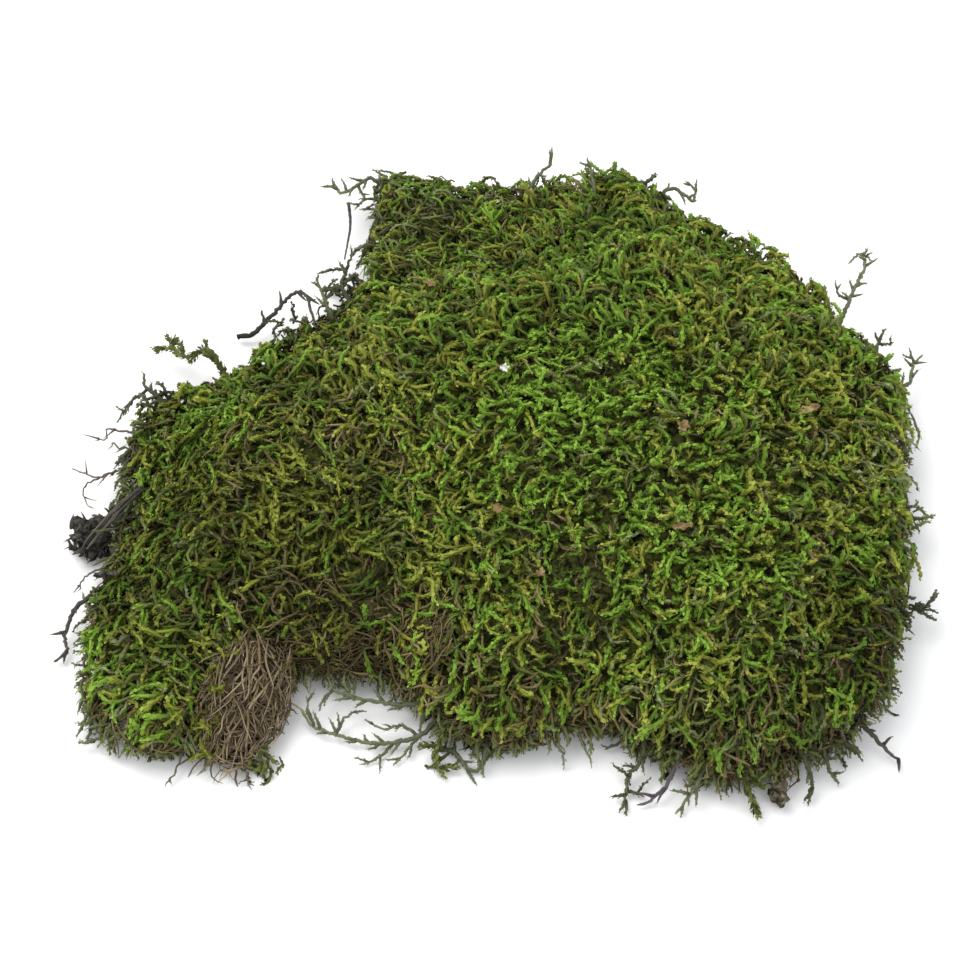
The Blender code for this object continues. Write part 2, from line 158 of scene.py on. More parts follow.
def add_tubes(strands, paths, radii, sides, tints, first_v=0.0, last_v=1.0, flat=1.0):
    """Tubes with a pointed tip along the paths (N, R, 3), with radii (N, R)."""
    count, rings, _ = paths.shape
    _, side, up = frames_along(paths)
    turn = np.arange(sides) * 2 * math.pi / sides
    circle = side[:, :, None, :] * np.cos(turn)[:, None]
    circle = circle + up[:, :, None, :] * (flat * np.sin(turn)[:, None])
    rims = paths[:, :, None, :] + circle * radii[:, :, None, None]
    points = rims.reshape(count, rings * sides, 3)
    base = np.arange(count)[:, None, None, None] * rings * sides
    ring = np.arange(rings - 1)[None, :, None, None] * sides
    here = np.arange(sides)[None, None, :, None]
    there = (here + 1) % sides
    faces = base + ring + np.concatenate([here, there, there + sides, here + sides], axis=3)
    faces = faces.reshape(-1, 4)
    levels = np.linspace(first_v, last_v, rings)
    u = tints[:, None, None] + (np.arange(sides)[None, None, :] / sides - 0.5) * TINT_WIDTH
    u = np.broadcast_to(u, (count, rings - 1, sides))
    low = np.broadcast_to(levels[:-1][None, :, None], u.shape)
    high = np.broadcast_to(levels[1:][None, :, None], u.shape)
    beside = u + TINT_WIDTH / sides
    quad = (u, low), (beside, low), (beside, high), (u, high)
    uvs = np.stack([np.stack(corner, -1) for corner in quad], axis=3)
    strands.add(points, faces, uvs.reshape(-1, 4, 2))


# A leaf's shape, as shares of its length: where it is widest, how far its middle and its tip stand
# off the stem, and how far its edges stand off its middle. Leaves near a shoot's tip are smaller.
WIDEST, MIDDLE_LIFT, TIP_LIFT, EDGE_LIFT = 0.45, 0.02, 0.06, 0.10
TIP_SHRINK = 0.45


def add_leaves(strands, paths, radii, tints, rng, each, length, width, spread, first=0.2,
               tint_jitter=0.05):
    """Keeled leaves, two triangles each, in a spiral round the paths (N, R, 3).

    width is a share of the length, spread the angle between leaf and stem, and first says how far
    along the path the lowest leaf stands.
    """
    count, rings, _ = paths.shape
    tangents, side, up = frames_along(paths)
    where = np.linspace(first, 1, each)[None, :] + rng.uniform(-0.4, 0.4, (count, each)) / each
    where = np.clip(where, 0, 0.999)
    at = where * (rings - 1)
    low = np.floor(at).astype(int)
    part = (at - low)[..., None]
    row = np.arange(count)[:, None]

    def between(values):
        return values[row, low] * (1 - part) + values[row, low + 1] * part

    center = between(paths)
    along = unit(between(tangents))
    right = unit(between(side))
    over = unit(between(up))
    radius = between(radii[..., None])
    angle = np.arange(each)[None, :] * GOLDEN_ANGLE + rng.uniform(0, 6.28, (count, 1))
    angle = (angle + rng.uniform(-0.3, 0.3, (count, each)))[..., None]
    outward = right * np.cos(angle) + over * np.sin(angle)
    across = np.cross(along, outward)
    opening = (spread + rng.uniform(-0.15, 0.25, (count, each)))[..., None]
    shrink = (1 - TIP_SHRINK * np.clip((where - 0.75) / 0.25, 0, 1))[..., None]
    size = length[:, None, None] * rng.uniform(0.8, 1.2, (count, each, 1)) * shrink
    heading = along * np.cos(opening) + outward * np.sin(opening)
    root = center + outward * radius * 0.7
    tip = root + heading * size + outward * size * TIP_LIFT
    middle = root + heading * size * WIDEST + outward * size * MIDDLE_LIFT
    half = across * size * width
    left_edge = middle - half + outward * size * EDGE_LIFT
    right_edge = middle + half + outward * size * EDGE_LIFT
    points = np.stack([root, left_edge, tip, right_edge], axis=2)
    base = (np.arange(count * each) * 4)[:, None]
    faces = np.concatenate([base + [[0, 1, 2]], base + [[0, 2, 3]]])
    u = (tints[:, None] + rng.uniform(-tint_jitter, tint_jitter, (count, each))).reshape(-1)
    v = where.reshape(-1)
    outline = (u, v - 0.03), (u - TINT_WIDTH, v), (u, v + 0.08), (u + TINT_WIDTH, v)
    corner = np.stack([np.stack(point, -1) for point in outline], axis=1)
    uvs = np.concatenate([corner[:, [0, 1, 2]], corner[:, [0, 2, 3]]])
    strands.add(points.reshape(-1, 3), faces, uvs)


# ---------------- the frame's surfaces


def node_arrays(name):
    """Points in millimetres and triangles of a CAD node, with its split edges joined."""
    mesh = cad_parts[name].data
    mesh.calc_loop_triangles()
    points = np.empty(len(mesh.vertices) * 3, np.float32)
    mesh.vertices.foreach_get("co", points)
    triangles = np.empty(len(mesh.loop_triangles) * 3, np.int32)
    mesh.loop_triangles.foreach_get("vertices", triangles)
    points = points.reshape(-1, 3).astype(float) / MM
    merged, index = np.unique(np.round(points, 3), axis=0, return_inverse=True)
    return merged, index.reshape(-1)[triangles.reshape(-1, 3)]


TRIES = 3.0  # points tried for each one that the spacing has room for


def facing_and_normals(points, triangles):
    """Each triangle's normal, twice its area long, and each point's outward unit normal."""
    corners = points[triangles]
    facing = np.cross(corners[:, 1] - corners[:, 0], corners[:, 2] - corners[:, 0])
    normals = np.zeros_like(points)
    for corner in range(3):
        np.add.at(normals, triangles[:, corner], facing)
    return facing, unit(normals)


def off_the_floor(points, normals):
    return points[:, 2] > 1.0


def scatter(name, spacing, rng, keep=off_the_floor):
    """Points about a spacing apart on a CAD node's surface, with smooth outward normals.

    keep takes points and normals, and says which of them stay. The underside gets none.
    """
    points, triangles = node_arrays(name)
    corners = points[triangles]
    facing, normals = facing_and_normals(points, triangles)
    area = np.linalg.norm(facing, axis=1) / 2
    area = np.where(facing[:, 2] > -area, area, 0)
    wanted = int(TRIES * area.sum() / spacing**2)
    chosen = rng.choice(len(area), wanted, p=area / area.sum())
    a, b = rng.random(wanted), rng.random(wanted)
    flip = a + b > 1
    a, b = np.where(flip, 1 - a, a), np.where(flip, 1 - b, b)
    weights = np.stack([1 - a - b, a, b], axis=1)[..., None]
    places = (corners[chosen] * weights).sum(axis=1)
    outward = unit((normals[triangles[chosen]] * weights).sum(axis=1))
    cells = np.floor(places / spacing + rng.random(3)).astype(int)
    _, first = np.unique(cells, axis=0, return_index=True)
    places, outward = places[first], outward[first]
    kept = keep(places, outward)
    return places[kept], outward[kept]


def smooth_noise(x, y, size, seed):
    """Soft noise from -1 to 1 over the ground plane, with lumps of a size in millimetres."""
    cells = 63
    grid = np.random.default_rng(seed).uniform(-1, 1, (cells + 1, cells + 1))
    gx, gy = x / size + cells // 2, y / size + cells // 2
    ix, iy = np.floor(gx).astype(int), np.floor(gy).astype(int)
    fx, fy = gx - ix, gy - iy
    fx, fy = fx * fx * (3 - 2 * fx), fy * fy * (3 - 2 * fy)
    ix, iy = ix % cells, iy % cells
    low = grid[ix, iy] * (1 - fx) + grid[ix + 1, iy] * fx
    high = grid[ix, iy + 1] * (1 - fx) + grid[ix + 1, iy + 1] * fx
    return low * (1 - fy) + high * fy


def patch(x, y, spots):
    """Sum of soft round spots: each is (x, y, radius, strength)."""
    total = np.zeros_like(x)
    for cx, cy, radius, strength in spots:
        total += strength * np.exp(-((x - cx) ** 2 + (y - cy) ** 2) / radius**2)
    return total


# ---------------- materials


def ramp(nodes, links, factor, stops):
    """The colours of the stops, each a position and a colour, at the factor."""
    node = nodes.new("ShaderNodeValToRGB")
    elements = node.color_ramp.elements
    while len(elements) < len(stops):
        elements.new(0.5)
    for element, (position, color) in zip(elements, stops):
        element.position = position
        element.color = (*color, 1)
    links.new(factor, node.inputs["Fac"])
    return node.outputs["Color"]


def mixed(nodes, links, factor, first, second):
    mix = nodes.new("ShaderNodeMix")
    mix.data_type = "RGBA"
    links.new(factor, mix.inputs["Factor"])
    links.new(first, mix.inputs["A"])
    links.new(second, mix.inputs["B"])
    return mix.outputs["Result"]


def new_material(name, roughness, specular):
    material = bpy.data.materials.new(name)
    material.use_nodes = True
    shader = material.node_tree.nodes["Principled BSDF"]
    shader.inputs["Roughness"].default_value = roughness
    shader.inputs["Specular IOR Level"].default_value = specular
    return material, material.node_tree.nodes, material.node_tree.links, shader


def palette_material(name, roughness, fleck, dark, light):
    """Colour along the shoot by v, with withered flecks, between a dark and a light version by u: the
    shoot's own tone and any painted light and shade.

    dark and light give the colours at the root, at the middle and at the tip.
    """
    material, nodes, links, shader = new_material(name, roughness, 0.16)
    place = nodes.new("ShaderNodeUVMap")
    place.uv_map = UV_NAME
    split = nodes.new("ShaderNodeSeparateXYZ")
    links.new(place.outputs["UV"], split.inputs["Vector"])
    along = (0.0, 0.35, 1.0)
    dark = ramp(nodes, links, split.outputs["Y"], list(zip(along, dark)))
    light = ramp(nodes, links, split.outputs["Y"], list(zip(along, light)))
    plant = mixed(nodes, links, split.outputs["X"], dark, light)
    spread = nodes.new("ShaderNodeTexNoise")
    spread.inputs["Scale"].default_value = 13
    spread.inputs["Detail"].default_value = 2
    links.new(place.outputs["UV"], spread.inputs["Vector"])
    share = ramp(nodes, links, spread.outputs["Fac"], [(0.56, (0, 0, 0)), (0.74, (0.65,) * 3)])
    withered = nodes.new("ShaderNodeRGB")
    withered.outputs["Color"].default_value = (*fleck, 1)
    links.new(mixed(nodes, links, share, plant, withered.outputs["Color"]),
              shader.inputs["Base Color"])
    return material


PALETTES = {look: palette_material(*values) for look, *values in (
    ("fresh", "fresh_moss", 0.7, (0.17, 0.17, 0.03),
     [(0.026, 0.036, 0.007), (0.044, 0.080, 0.009), (0.082, 0.158, 0.013)],
     [(0.050, 0.064, 0.013), (0.138, 0.245, 0.024), (0.262, 0.425, 0.052)]),
    ("yellow", "yellow_moss", 0.7, (0.22, 0.16, 0.04),
     [(0.030, 0.028, 0.007), (0.064, 0.071, 0.009), (0.118, 0.142, 0.014)],
     [(0.074, 0.064, 0.016), (0.204, 0.232, 0.026), (0.358, 0.408, 0.072)]),
    ("olive", "olive_moss", 0.75, (0.15, 0.11, 0.04),
     [(0.026, 0.026, 0.007), (0.044, 0.053, 0.012), (0.070, 0.088, 0.020)],
     [(0.055, 0.052, 0.017), (0.112, 0.136, 0.032), (0.222, 0.264, 0.074)]),
    ("brown", "dead_stems", 0.75, (0.25, 0.13, 0.045),
     [(0.018, 0.014, 0.006), (0.038, 0.030, 0.012), (0.066, 0.054, 0.022)],
     [(0.060, 0.047, 0.019), (0.160, 0.130, 0.054), (0.295, 0.245, 0.115)]),
    ("pale", "pale_moss", 0.75, (0.18, 0.15, 0.08),
     [(0.030, 0.030, 0.012), (0.056, 0.066, 0.024), (0.090, 0.112, 0.040)],
     [(0.070, 0.070, 0.034), (0.150, 0.178, 0.068), (0.275, 0.330, 0.130)]),
    ("tan", "dead_thatch", 0.75, (0.30, 0.16, 0.05),
     [(0.020, 0.014, 0.008), (0.052, 0.037, 0.020), (0.092, 0.067, 0.037)],
     [(0.110, 0.084, 0.050), (0.260, 0.204, 0.124), (0.420, 0.345, 0.220)]),
    ("dull", "dull_frond", 0.7, (0.18, 0.16, 0.11),
     [(0.026, 0.027, 0.014), (0.052, 0.060, 0.030), (0.080, 0.098, 0.044)],
     [(0.070, 0.073, 0.046), (0.150, 0.172, 0.092), (0.235, 0.282, 0.140)]),
    ("dark", "dark_frond", 0.75, (0.12, 0.10, 0.07),
     [(0.016, 0.017, 0.009), (0.030, 0.034, 0.016), (0.048, 0.058, 0.026)],
     [(0.045, 0.045, 0.028), (0.095, 0.104, 0.054), (0.160, 0.186, 0.085)]),
    ("purple", "purple_twig", 0.5, (0.12, 0.09, 0.07),
     [(0.020, 0.014, 0.018), (0.032, 0.024, 0.032), (0.045, 0.034, 0.046)],
     [(0.070, 0.054, 0.062), (0.110, 0.090, 0.108), (0.170, 0.145, 0.172)]),
    ("twig", "dark_twig", 0.8, (0.13, 0.10, 0.07),
     [(0.008, 0.006, 0.005), (0.016, 0.013, 0.010), (0.026, 0.021, 0.016)],
     [(0.050, 0.046, 0.038), (0.090, 0.082, 0.068), (0.145, 0.134, 0.112)]),
    ("fine", "fine_stem", 0.75, (0.16, 0.12, 0.08),
     [(0.022, 0.018, 0.014), (0.045, 0.038, 0.029), (0.075, 0.064, 0.048)],
     [(0.100, 0.084, 0.064), (0.180, 0.153, 0.120), (0.260, 0.225, 0.180)]),
)}


def rough_material(name, scale, stops, bump, roughness=0.9):
    """Bark, soil or felt: mottled noise colours with a matching bump."""
    material, nodes, links, shader = new_material(name, roughness, 0.12)
    place = nodes.new("ShaderNodeTexCoord")
    mottling = nodes.new("ShaderNodeTexNoise")
    mottling.inputs["Scale"].default_value = scale
    mottling.inputs["Detail"].default_value = 7
    mottling.inputs["Distortion"].default_value = 0.4
    links.new(place.outputs["Object"], mottling.inputs["Vector"])
    color = ramp(nodes, links, mottling.outputs["Fac"], stops)
    links.new(color, shader.inputs["Base Color"])
    relief = nodes.new("ShaderNodeBump")
    relief.inputs["Strength"].default_value = bump
    relief.inputs["Distance"].default_value = 0.0004
    links.new(mottling.outputs["Fac"], relief.inputs["Height"])
    links.new(relief.outputs["Normal"], shader.inputs["Normal"])
    return material


# The core's mottling stands for deep stems: their own dark greens and browns, with near-black flecks of
# painted shade for the gaps between them.
CORE = rough_material("moss_core", 850, [
    (0.36, (0.010, 0.009, 0.004)), (0.48, (0.030, 0.038, 0.008)), (0.58, (0.080, 0.095, 0.020)),
    (0.70, (0.090, 0.066, 0.028)),
], 1.0)
FELT = rough_material("rhizoid_felt", 520, [
    (0.40, (0.008, 0.006, 0.004)), (0.47, (0.060, 0.043, 0.025)), (0.60, (0.120, 0.092, 0.058)),
    (0.74, (0.210, 0.175, 0.125)),
], 1.0)
BARK = rough_material("bark", 800, [
    (0.34, (0.006, 0.006, 0.005)), (0.50, (0.040, 0.038, 0.031)), (0.70, (0.130, 0.124, 0.104)),
], 1.0)
SOIL = rough_material("soil_crumb", 900, [
    (0.34, (0.014, 0.012, 0.007)), (0.50, (0.080, 0.070, 0.045)), (0.70, (0.220, 0.200, 0.145)),
], 1.0)
DRY_LEAF = rough_material("dry_leaf", 600, [
    (0.30, (0.100, 0.062, 0.024)), (0.50, (0.230, 0.155, 0.070)), (0.72, (0.360, 0.270, 0.150)),
], 0.5, 0.75)
PALE_CRUMB = rough_material("white_crumb", 1500, [
    (0.30, (0.260, 0.240, 0.190)), (0.46, (0.620, 0.610, 0.560)), (0.70, (0.820, 0.820, 0.790)),
], 0.6, 0.7)


# ---------------- how the shoots lie

# Where the shoots point: x, y, radius, heading in degrees, how far headings stray from it.
FLOW = [
    (-60, 0, 26, 295, 60), (-45, 28, 22, 128, 50), (-62, -42, 18, 250, 60), (-30, -10, 22, 300, 60),
    (-8, 40, 24, 112, 50), (-4, 8, 20, 262, 60), (20, 60, 22, 95, 55), (30, 10, 26, 268, 75),
    (55, 35, 20, 80, 70), (75, 0, 20, 305, 75), (60, -45, 22, 285, 60), (15, -45, 22, 268, 50),
    (-8, 75, 14, 150, 55),
]
# Soft spots, each x, y, radius and strength: here how upright the shoots stand, from 0, lying, to 1,
# and below how bright they are drawn (their own tone and painted light and shade), and how many are
# yellow, dead and grey-green.
UPRIGHT_SPOTS = [
    (35, 5, 42, 0.75), (65, -20, 30, 0.4), (20, -40, 22, 0.35), (28, 62, 20, 0.35),
    (-62, -44, 16, 0.35), (-70, 0, 14, 0.25),
]
# Brightness spots, partly the moss's own tone and partly painted light and shade: the dark spot at (-28,
# -38) is the painted shadow of the overhang over the notch, and the dark ones at (-47, 33) and (-35, 31)
# even out the key light.
LIGHT_SHADE_AND_TONE_SPOTS = [
    (15, 8, 20, 0.22), (43, -25, 17, 0.24), (25, 57, 14, 0.06), (-10, 40, 16, 0.08),
    (-68, 14, 10, -0.12), (55, 50, 16, 0.08), (-72, -54, 12, 0.34), (84, 0, 14, 0.36),
    (-28, -38, 12, -0.52), (74, -45, 16, -0.36), (-8, 76, 18, -0.08), (-56, -12, 22, -0.28),
    (-37, -14, 18, -0.03), (18, 32, 8, -0.12), (24, 72, 9, -0.22), (38, -4, 14, 0.10),
    (30, -52, 10, 0.16), (84, -46, 12, -0.36), (-20, 80, 8, 0.14), (-76, -38, 10, 0.20),
    (-74, 2, 8, 0.14), (-32, -37, 7, -0.28), (24, 22, 16, 0.26), (20, -31, 6, -0.24),
    (13, -41, 6, -0.24), (82, -45, 14, -0.48), (2, -52, 10, 0.12), (-35, 31, 10, -0.24),
    (9, 44, 12, -0.34), (25, 69, 8, -0.36), (-61, -23, 9, -0.30), (-35, -40, 8, -0.20),
    (-47, 33, 10, -0.28), (-10, -26, 10, 0.06), (10, -16, 9, 0.20), (-33, -22, 9, -0.18),
    (-20, -9, 9, -0.18), (-35, 14, 9, -0.10),
]
YELLOW_SPOTS = [
    (-37, -14, 30, 0.30), (-20, 2, 18, 0.20), (75, 5, 22, 0.20), (50, 50, 18, 0.15), (15, 8, 20, -0.45),
    (43, -25, 18, -0.22), (25, 55, 16, -0.3), (-68, 14, 14, -0.25), (26, 24, 16, -0.35),
    (-5, 38, 14, -0.10), (-70, -45, 14, -0.15),
]
DEAD_SPOTS = [
    (-28, -38, 14, 0.50), (-18, 1, 7, 0.34), (-40, -14, 20, 0.14), (72, -42, 16, 0.22),
    (-4, -54, 14, 0.42), (15, -22, 6, 0.34), (-48, -11, 6, 0.30), (-32, 9, 6, 0.30),
    (-43, -30, 7, 0.30), (14, -58, 12, 0.25), (70, 6, 14, 0.10), (-57, -22, 12, 0.10),
    (20, -33, 8, 0.15), (-8, 62, 10, 0.20), (-12, -38, 9, 0.35), (-72, 16, 10, 0.10),
    (-70, -8, 12, 0.12), (8, 80, 10, 0.20), (38, 74, 8, 0.15), (22, 12, 22, -0.12), (82, -46, 13, 0.38),
    (50, -60, 12, 0.30), (20, -31, 6, 0.32), (13, -41, 6, 0.34),
]
PALE_SPOTS = [
    (86, 0, 12, 0.30), (-10, 78, 16, 0.36), (-72, -50, 10, 0.25), (-76, 0, 10, 0.22),
    (80, -48, 12, 0.15), (56, -44, 5, 0.35), (48, -60, 16, 0.15), (84, -40, 12, 0.15),
    (-24, 72, 8, 0.25),
]
TUFT_SIZE = 4.6


def headings(x, y, rng):
    """A heading for each place, mixed from the flow's nearby directions, in radians."""
    east, north, stray, total = (np.full_like(x, 1e-6) for _ in range(4))
    for cx, cy, radius, degrees, spread in FLOW:
        weight = np.exp(-((x - cx) ** 2 + (y - cy) ** 2) / radius**2)
        east += weight * math.cos(math.radians(degrees))
        north += weight * math.sin(math.radians(degrees))
        stray += weight * spread
        total += weight
    stray = np.radians(stray / total)
    tufts = smooth_noise(x, y, TUFT_SIZE, seed=5)
    return np.arctan2(north, east) + stray * (rng.normal(0, 0.7, len(x)) + 1.3 * tufts)


def unrolled(steps):
    """The centre lines (N, R, 3) that start at 0 and take the steps (N, R - 1, 3)."""
    start = np.zeros((len(steps), 1, 3))
    return np.concatenate([start, np.cumsum(steps, axis=1)], axis=1)


def bent_paths(normals, forward, length, pitch, bend, curl, hang, wiggle, rings):
    """Curved centre lines (N, R, 3) that start at 0.

    pitch and bend are the angles off the surface at the root and at the tip, curl is how far
    the shoot turns sideways, hang, from 0 to 1, lets it droop, wiggle is how far it weaves, and
    rings is the number of points.
    """
    across = np.cross(normals, forward)
    part = ((np.arange(rings - 1) + 0.5) / (rings - 1))[None, :, None]
    rise = pitch[:, None, None] * (1 - part) + bend[:, None, None] * part
    weave = wiggle[:, None, None] * np.sin(part * 9 + 7 * wiggle[:, None, None])
    turn = curl[:, None, None] * part**1.5 + weave
    sideways = forward[:, None] * np.cos(turn) + across[:, None] * np.sin(turn)
    rise = rise + 0.5 * weave
    direction = sideways * np.cos(rise) + normals[:, None] * np.sin(rise)
    direction = direction - UP * (0.15 + 0.5 * hang[:, None, None]) * part
    return unrolled(unit(direction) * (length / (rings - 1))[:, None, None])


def shoot_paths(places, normals, heading, length, pitch, bend, curl, depth, hang, wiggle, rings):
    """Centre lines (N, R, 3) whose highest part lies a depth above the surface at the places."""
    flat = level_ways(heading)
    down = 0.7 * flat - UP
    wanted = flat * (1 - hang[:, None]) + down * hang[:, None]
    forward = wanted - (wanted * normals).sum(1, keepdims=True) * normals
    forward = unit(forward + 0.02 * np.cross(normals, [1.0, 0.3, 0.2]))
    paths = bent_paths(normals, forward, length, pitch, bend, curl, hang, wiggle, rings)
    heights = (paths * normals[:, None, :]).sum(axis=2)
    middle = paths[:, int(rings * 0.6)]
    beside = middle - (middle * normals).sum(1, keepdims=True) * normals
    root = places + normals * (depth - heights.max(axis=1))[:, None] - beside
    return paths + root[:, None, :]


def roots_outside(name, paths, margin):
    """Which centre lines start less than a margin inside a node's wall, and the way out there."""
    points, triangles = node_arrays(name)
    tree = BVHTree.FromPolygons(points.tolist(), triangles.tolist())
    outside, way_out = np.zeros(len(paths), bool), np.zeros(len(paths))
    for number, root in enumerate(paths[:, 0]):
        root = Vector((root[0], root[1], max(root[2], 0.6)))
        nearest, normal, _, _ = tree.find_nearest(root)
        outside[number] = (root - nearest).dot(normal) > -margin and normal.z < 0.7
        way_out[number] = math.atan2(normal.y, normal.x)
    return outside, way_out


def shoot_radii(rings, radius, root=0.7, tip=0.22):
    """Radii (N, R) along shoots: root and tip are shares of the radius (N,)."""
    part = np.linspace(0, 1, rings)
    profile = np.interp(part, [0, 0.35, 0.75, 0.92, 1], [root, 1.0, 0.88, 0.6, tip])
    return radius[:, None] * profile[None, :]


# For each kind of shoot: stem radius, leaf length and the share of the leaves that it keeps.
KINDS = {
    "fresh": (0.41, 1.15, 1.0), "yellow": (0.41, 1.15, 1.0), "olive": (0.38, 1.05, 0.9),
    "brown": (0.27, 0.9, 0.4), "pale": (0.36, 1.05, 0.9),
}
# A layer of shoots. depth, stray and proud: how far the tips lie off the solid's surface, how far
# they stray, and the share that stands proud. bare_below: the noise under which nothing grows.
# rings: the points of a stem. The last three: what the layer adds to the brightness and to the dead and
# olive spots;
# the under layer's darker shoots are painted shade deep in the mat, the top layer's lighter ones painted
# light.
TOP_LAYER = dict(depth=-0.5, stray=0.6, proud=0.10, bare_below=-0.66, rings=7, light_and_tone=0.08,
                 dead=0.02, olive=0.14)
UNDER_LAYER = dict(depth=-2.2, stray=0.8, proud=0.0, bare_below=-1.1, rings=4, light_and_tone=-0.18,
                   dead=0.20, olive=0.35)
LENGTH, SHORTER = 7.6, 2.7  # a lying shoot's length, and how much shorter an upright one is
PITCH, STEEPER = 38, 34  # a lying shoot's angle at its root, and how much steeper an upright one's
DROOP, LIFT, WALL_LIFT = -24, 36, 30  # the angle at the tip: lying, more if upright, more on a wall
# The middle of a tuft is drawn brighter and the hollows between tufts darker: painted light on the
# crowns, painted shade in the hollows.
TUFT_HEIGHT, TUFT_LIGHT_AND_SHADE = 1.9, 0.44  # how much further out and brighter the middle of a tuft is
WALL_FOOT = 12  # height under which a wall's shoots are drawn darker and more of them are dead


def grow(name, spacing, rng, layer, size=1.0, keep=off_the_floor):
    """Shoots of one layer over a CAD node: centre lines, tints and kinds, numbered as in KINDS."""
    places, normals = scatter(name, spacing, rng, keep)
    bare = smooth_noise(places[:, 0], places[:, 1], 3.2, seed=61) < layer["bare_below"]
    places, normals = places[~bare], normals[~bare]
    x, y, count = places[:, 0], places[:, 1], len(places)
    wall = np.clip((0.75 - normals[:, 2]) / 0.6, 0, 1)  # 0 on the top, 1 on the walls
    low = np.clip(1 - places[:, 2] / WALL_FOOT, 0, 1)
    tuft = smooth_noise(x, y, TUFT_SIZE, seed=71)
    upright = 0.15 + patch(x, y, UPRIGHT_SPOTS) + rng.normal(0, 0.25, count) + 0.3 * tuft
    upright = np.clip(upright, 0, 1)
    outward = np.arctan2(normals[:, 1], normals[:, 0]) + rng.normal(0, 0.6, count)
    heading = headings(x, y, rng)
    heading = np.arctan2(
        np.sin(heading) * (1 - wall) + np.sin(outward) * wall,
        np.cos(heading) * (1 - wall) + np.cos(outward) * wall,
    )
    length = size * (LENGTH - SHORTER * upright) * rng.uniform(0.6, 1.4, count)
    pitch = np.radians(PITCH + STEEPER * upright + rng.normal(0, 14, count))
    bend = np.radians(DROOP + LIFT * upright + WALL_LIFT * wall + rng.normal(0, 28, count))
    curl = rng.normal(0, 1.05 + 0.6 * upright, count) * (1 - 0.5 * wall)
    wiggle = rng.normal(0, 0.5, count)
    proud = (rng.random(count) < layer["proud"]) * rng.uniform(0.6, 2.2, count)
    depth = layer["depth"] + layer["stray"] * rng.normal(0, 1, count) + TUFT_HEIGHT * tuft + proud
    shape = (length, pitch, bend, curl, depth, wall, wiggle, layer["rings"])
    paths = shoot_paths(places, normals, heading, *shape)
    outside, way_out = roots_outside(name, paths, 0.5)
    heading = np.where(outside, way_out + rng.normal(0, 0.4, count), heading)
    paths = shoot_paths(places, normals, heading, *shape)
    outside, _ = roots_outside(name, paths, 0.1)
    # The shoot's tint: its own tone at random, with painted light and shade from the spots, lit tuft
    # crowns and shaded hollows, and darker under-layer shoots deep in the mat. It is darker also at the
    # foot of a wall.
    light_and_tone = 0.5 + patch(x, y, LIGHT_SHADE_AND_TONE_SPOTS) + 0.20 * smooth_noise(x, y, 9, seed=21)
    light_and_tone = light_and_tone + TUFT_LIGHT_AND_SHADE * tuft + rng.normal(0, 0.14, count) + layer["light_and_tone"] - 0.12 * wall * low
    yellow = 0.42 + patch(x, y, YELLOW_SPOTS) + 0.22 * smooth_noise(x, y, 10, seed=31)
    dead = layer["dead"] + patch(x, y, DEAD_SPOTS) + 0.10 * smooth_noise(x, y, 7, seed=41)
    dead = dead + wall * low
    olive = layer["olive"] + 0.2 * smooth_noise(x, y, 8, seed=51) + 0.2 * wall
    pale = 0.02 + patch(x, y, PALE_SPOTS) + 0.10 * wall
    kind = np.zeros(count, int)
    for look, share in (("yellow", yellow), ("olive", olive), ("pale", pale), ("brown", dead)):
        kind = np.where(rng.random(count) < share, list(KINDS).index(look), kind)
    return paths[~outside], np.clip(light_and_tone, 0.04, 0.96)[~outside], kind[~outside]


MOST_TRIANGLES = 190000  # in a piece


def dress(strands, paths, tints, rng, leaves, sides, radius, leaf):
    """Leafy shoots along centre lines: a stem wrapped in overlapping pointed leaves."""
    count, rings, _ = paths.shape
    stout = rng.uniform(0.68, 1.25, count)
    radii = shoot_radii(rings, radius * stout)
    add_tubes(strands, paths, radii, sides, tints)
    size = leaf * (0.45 + 0.6 * stout)
    add_leaves(strands, paths, radii, tints, rng, leaves, size, 0.38, 0.12, tint_jitter=0.015)


def split_pieces(title, look, batches, rng, size):
    """Dresses the batches in as many pieces as their triangles need."""
    radius, leaf, share = KINDS[look]
    radius, leaf = radius * size, leaf * size
    pieces, strands = [], Strands()
    for paths, tints, leaves, sides in batches:
        leaves = int(leaves * share)
        each = (paths.shape[1] - 1) * sides * 2 + leaves * 2
        while len(paths):
            room = (MOST_TRIANGLES - strands.triangles()) // each
            if room > 0:
                dress(strands, paths[:room], tints[:room], rng, leaves, sides, radius, leaf)
                paths, tints = paths[room:], tints[room:]
            if len(paths):
                pieces.append(strands.piece(f"{title}_{len(pieces) + 1}", PALETTES[look]))
                strands = Strands()
    if strands.count:
        pieces.append(strands.piece(f"{title}_{len(pieces) + 1}", PALETTES[look]))
    return pieces


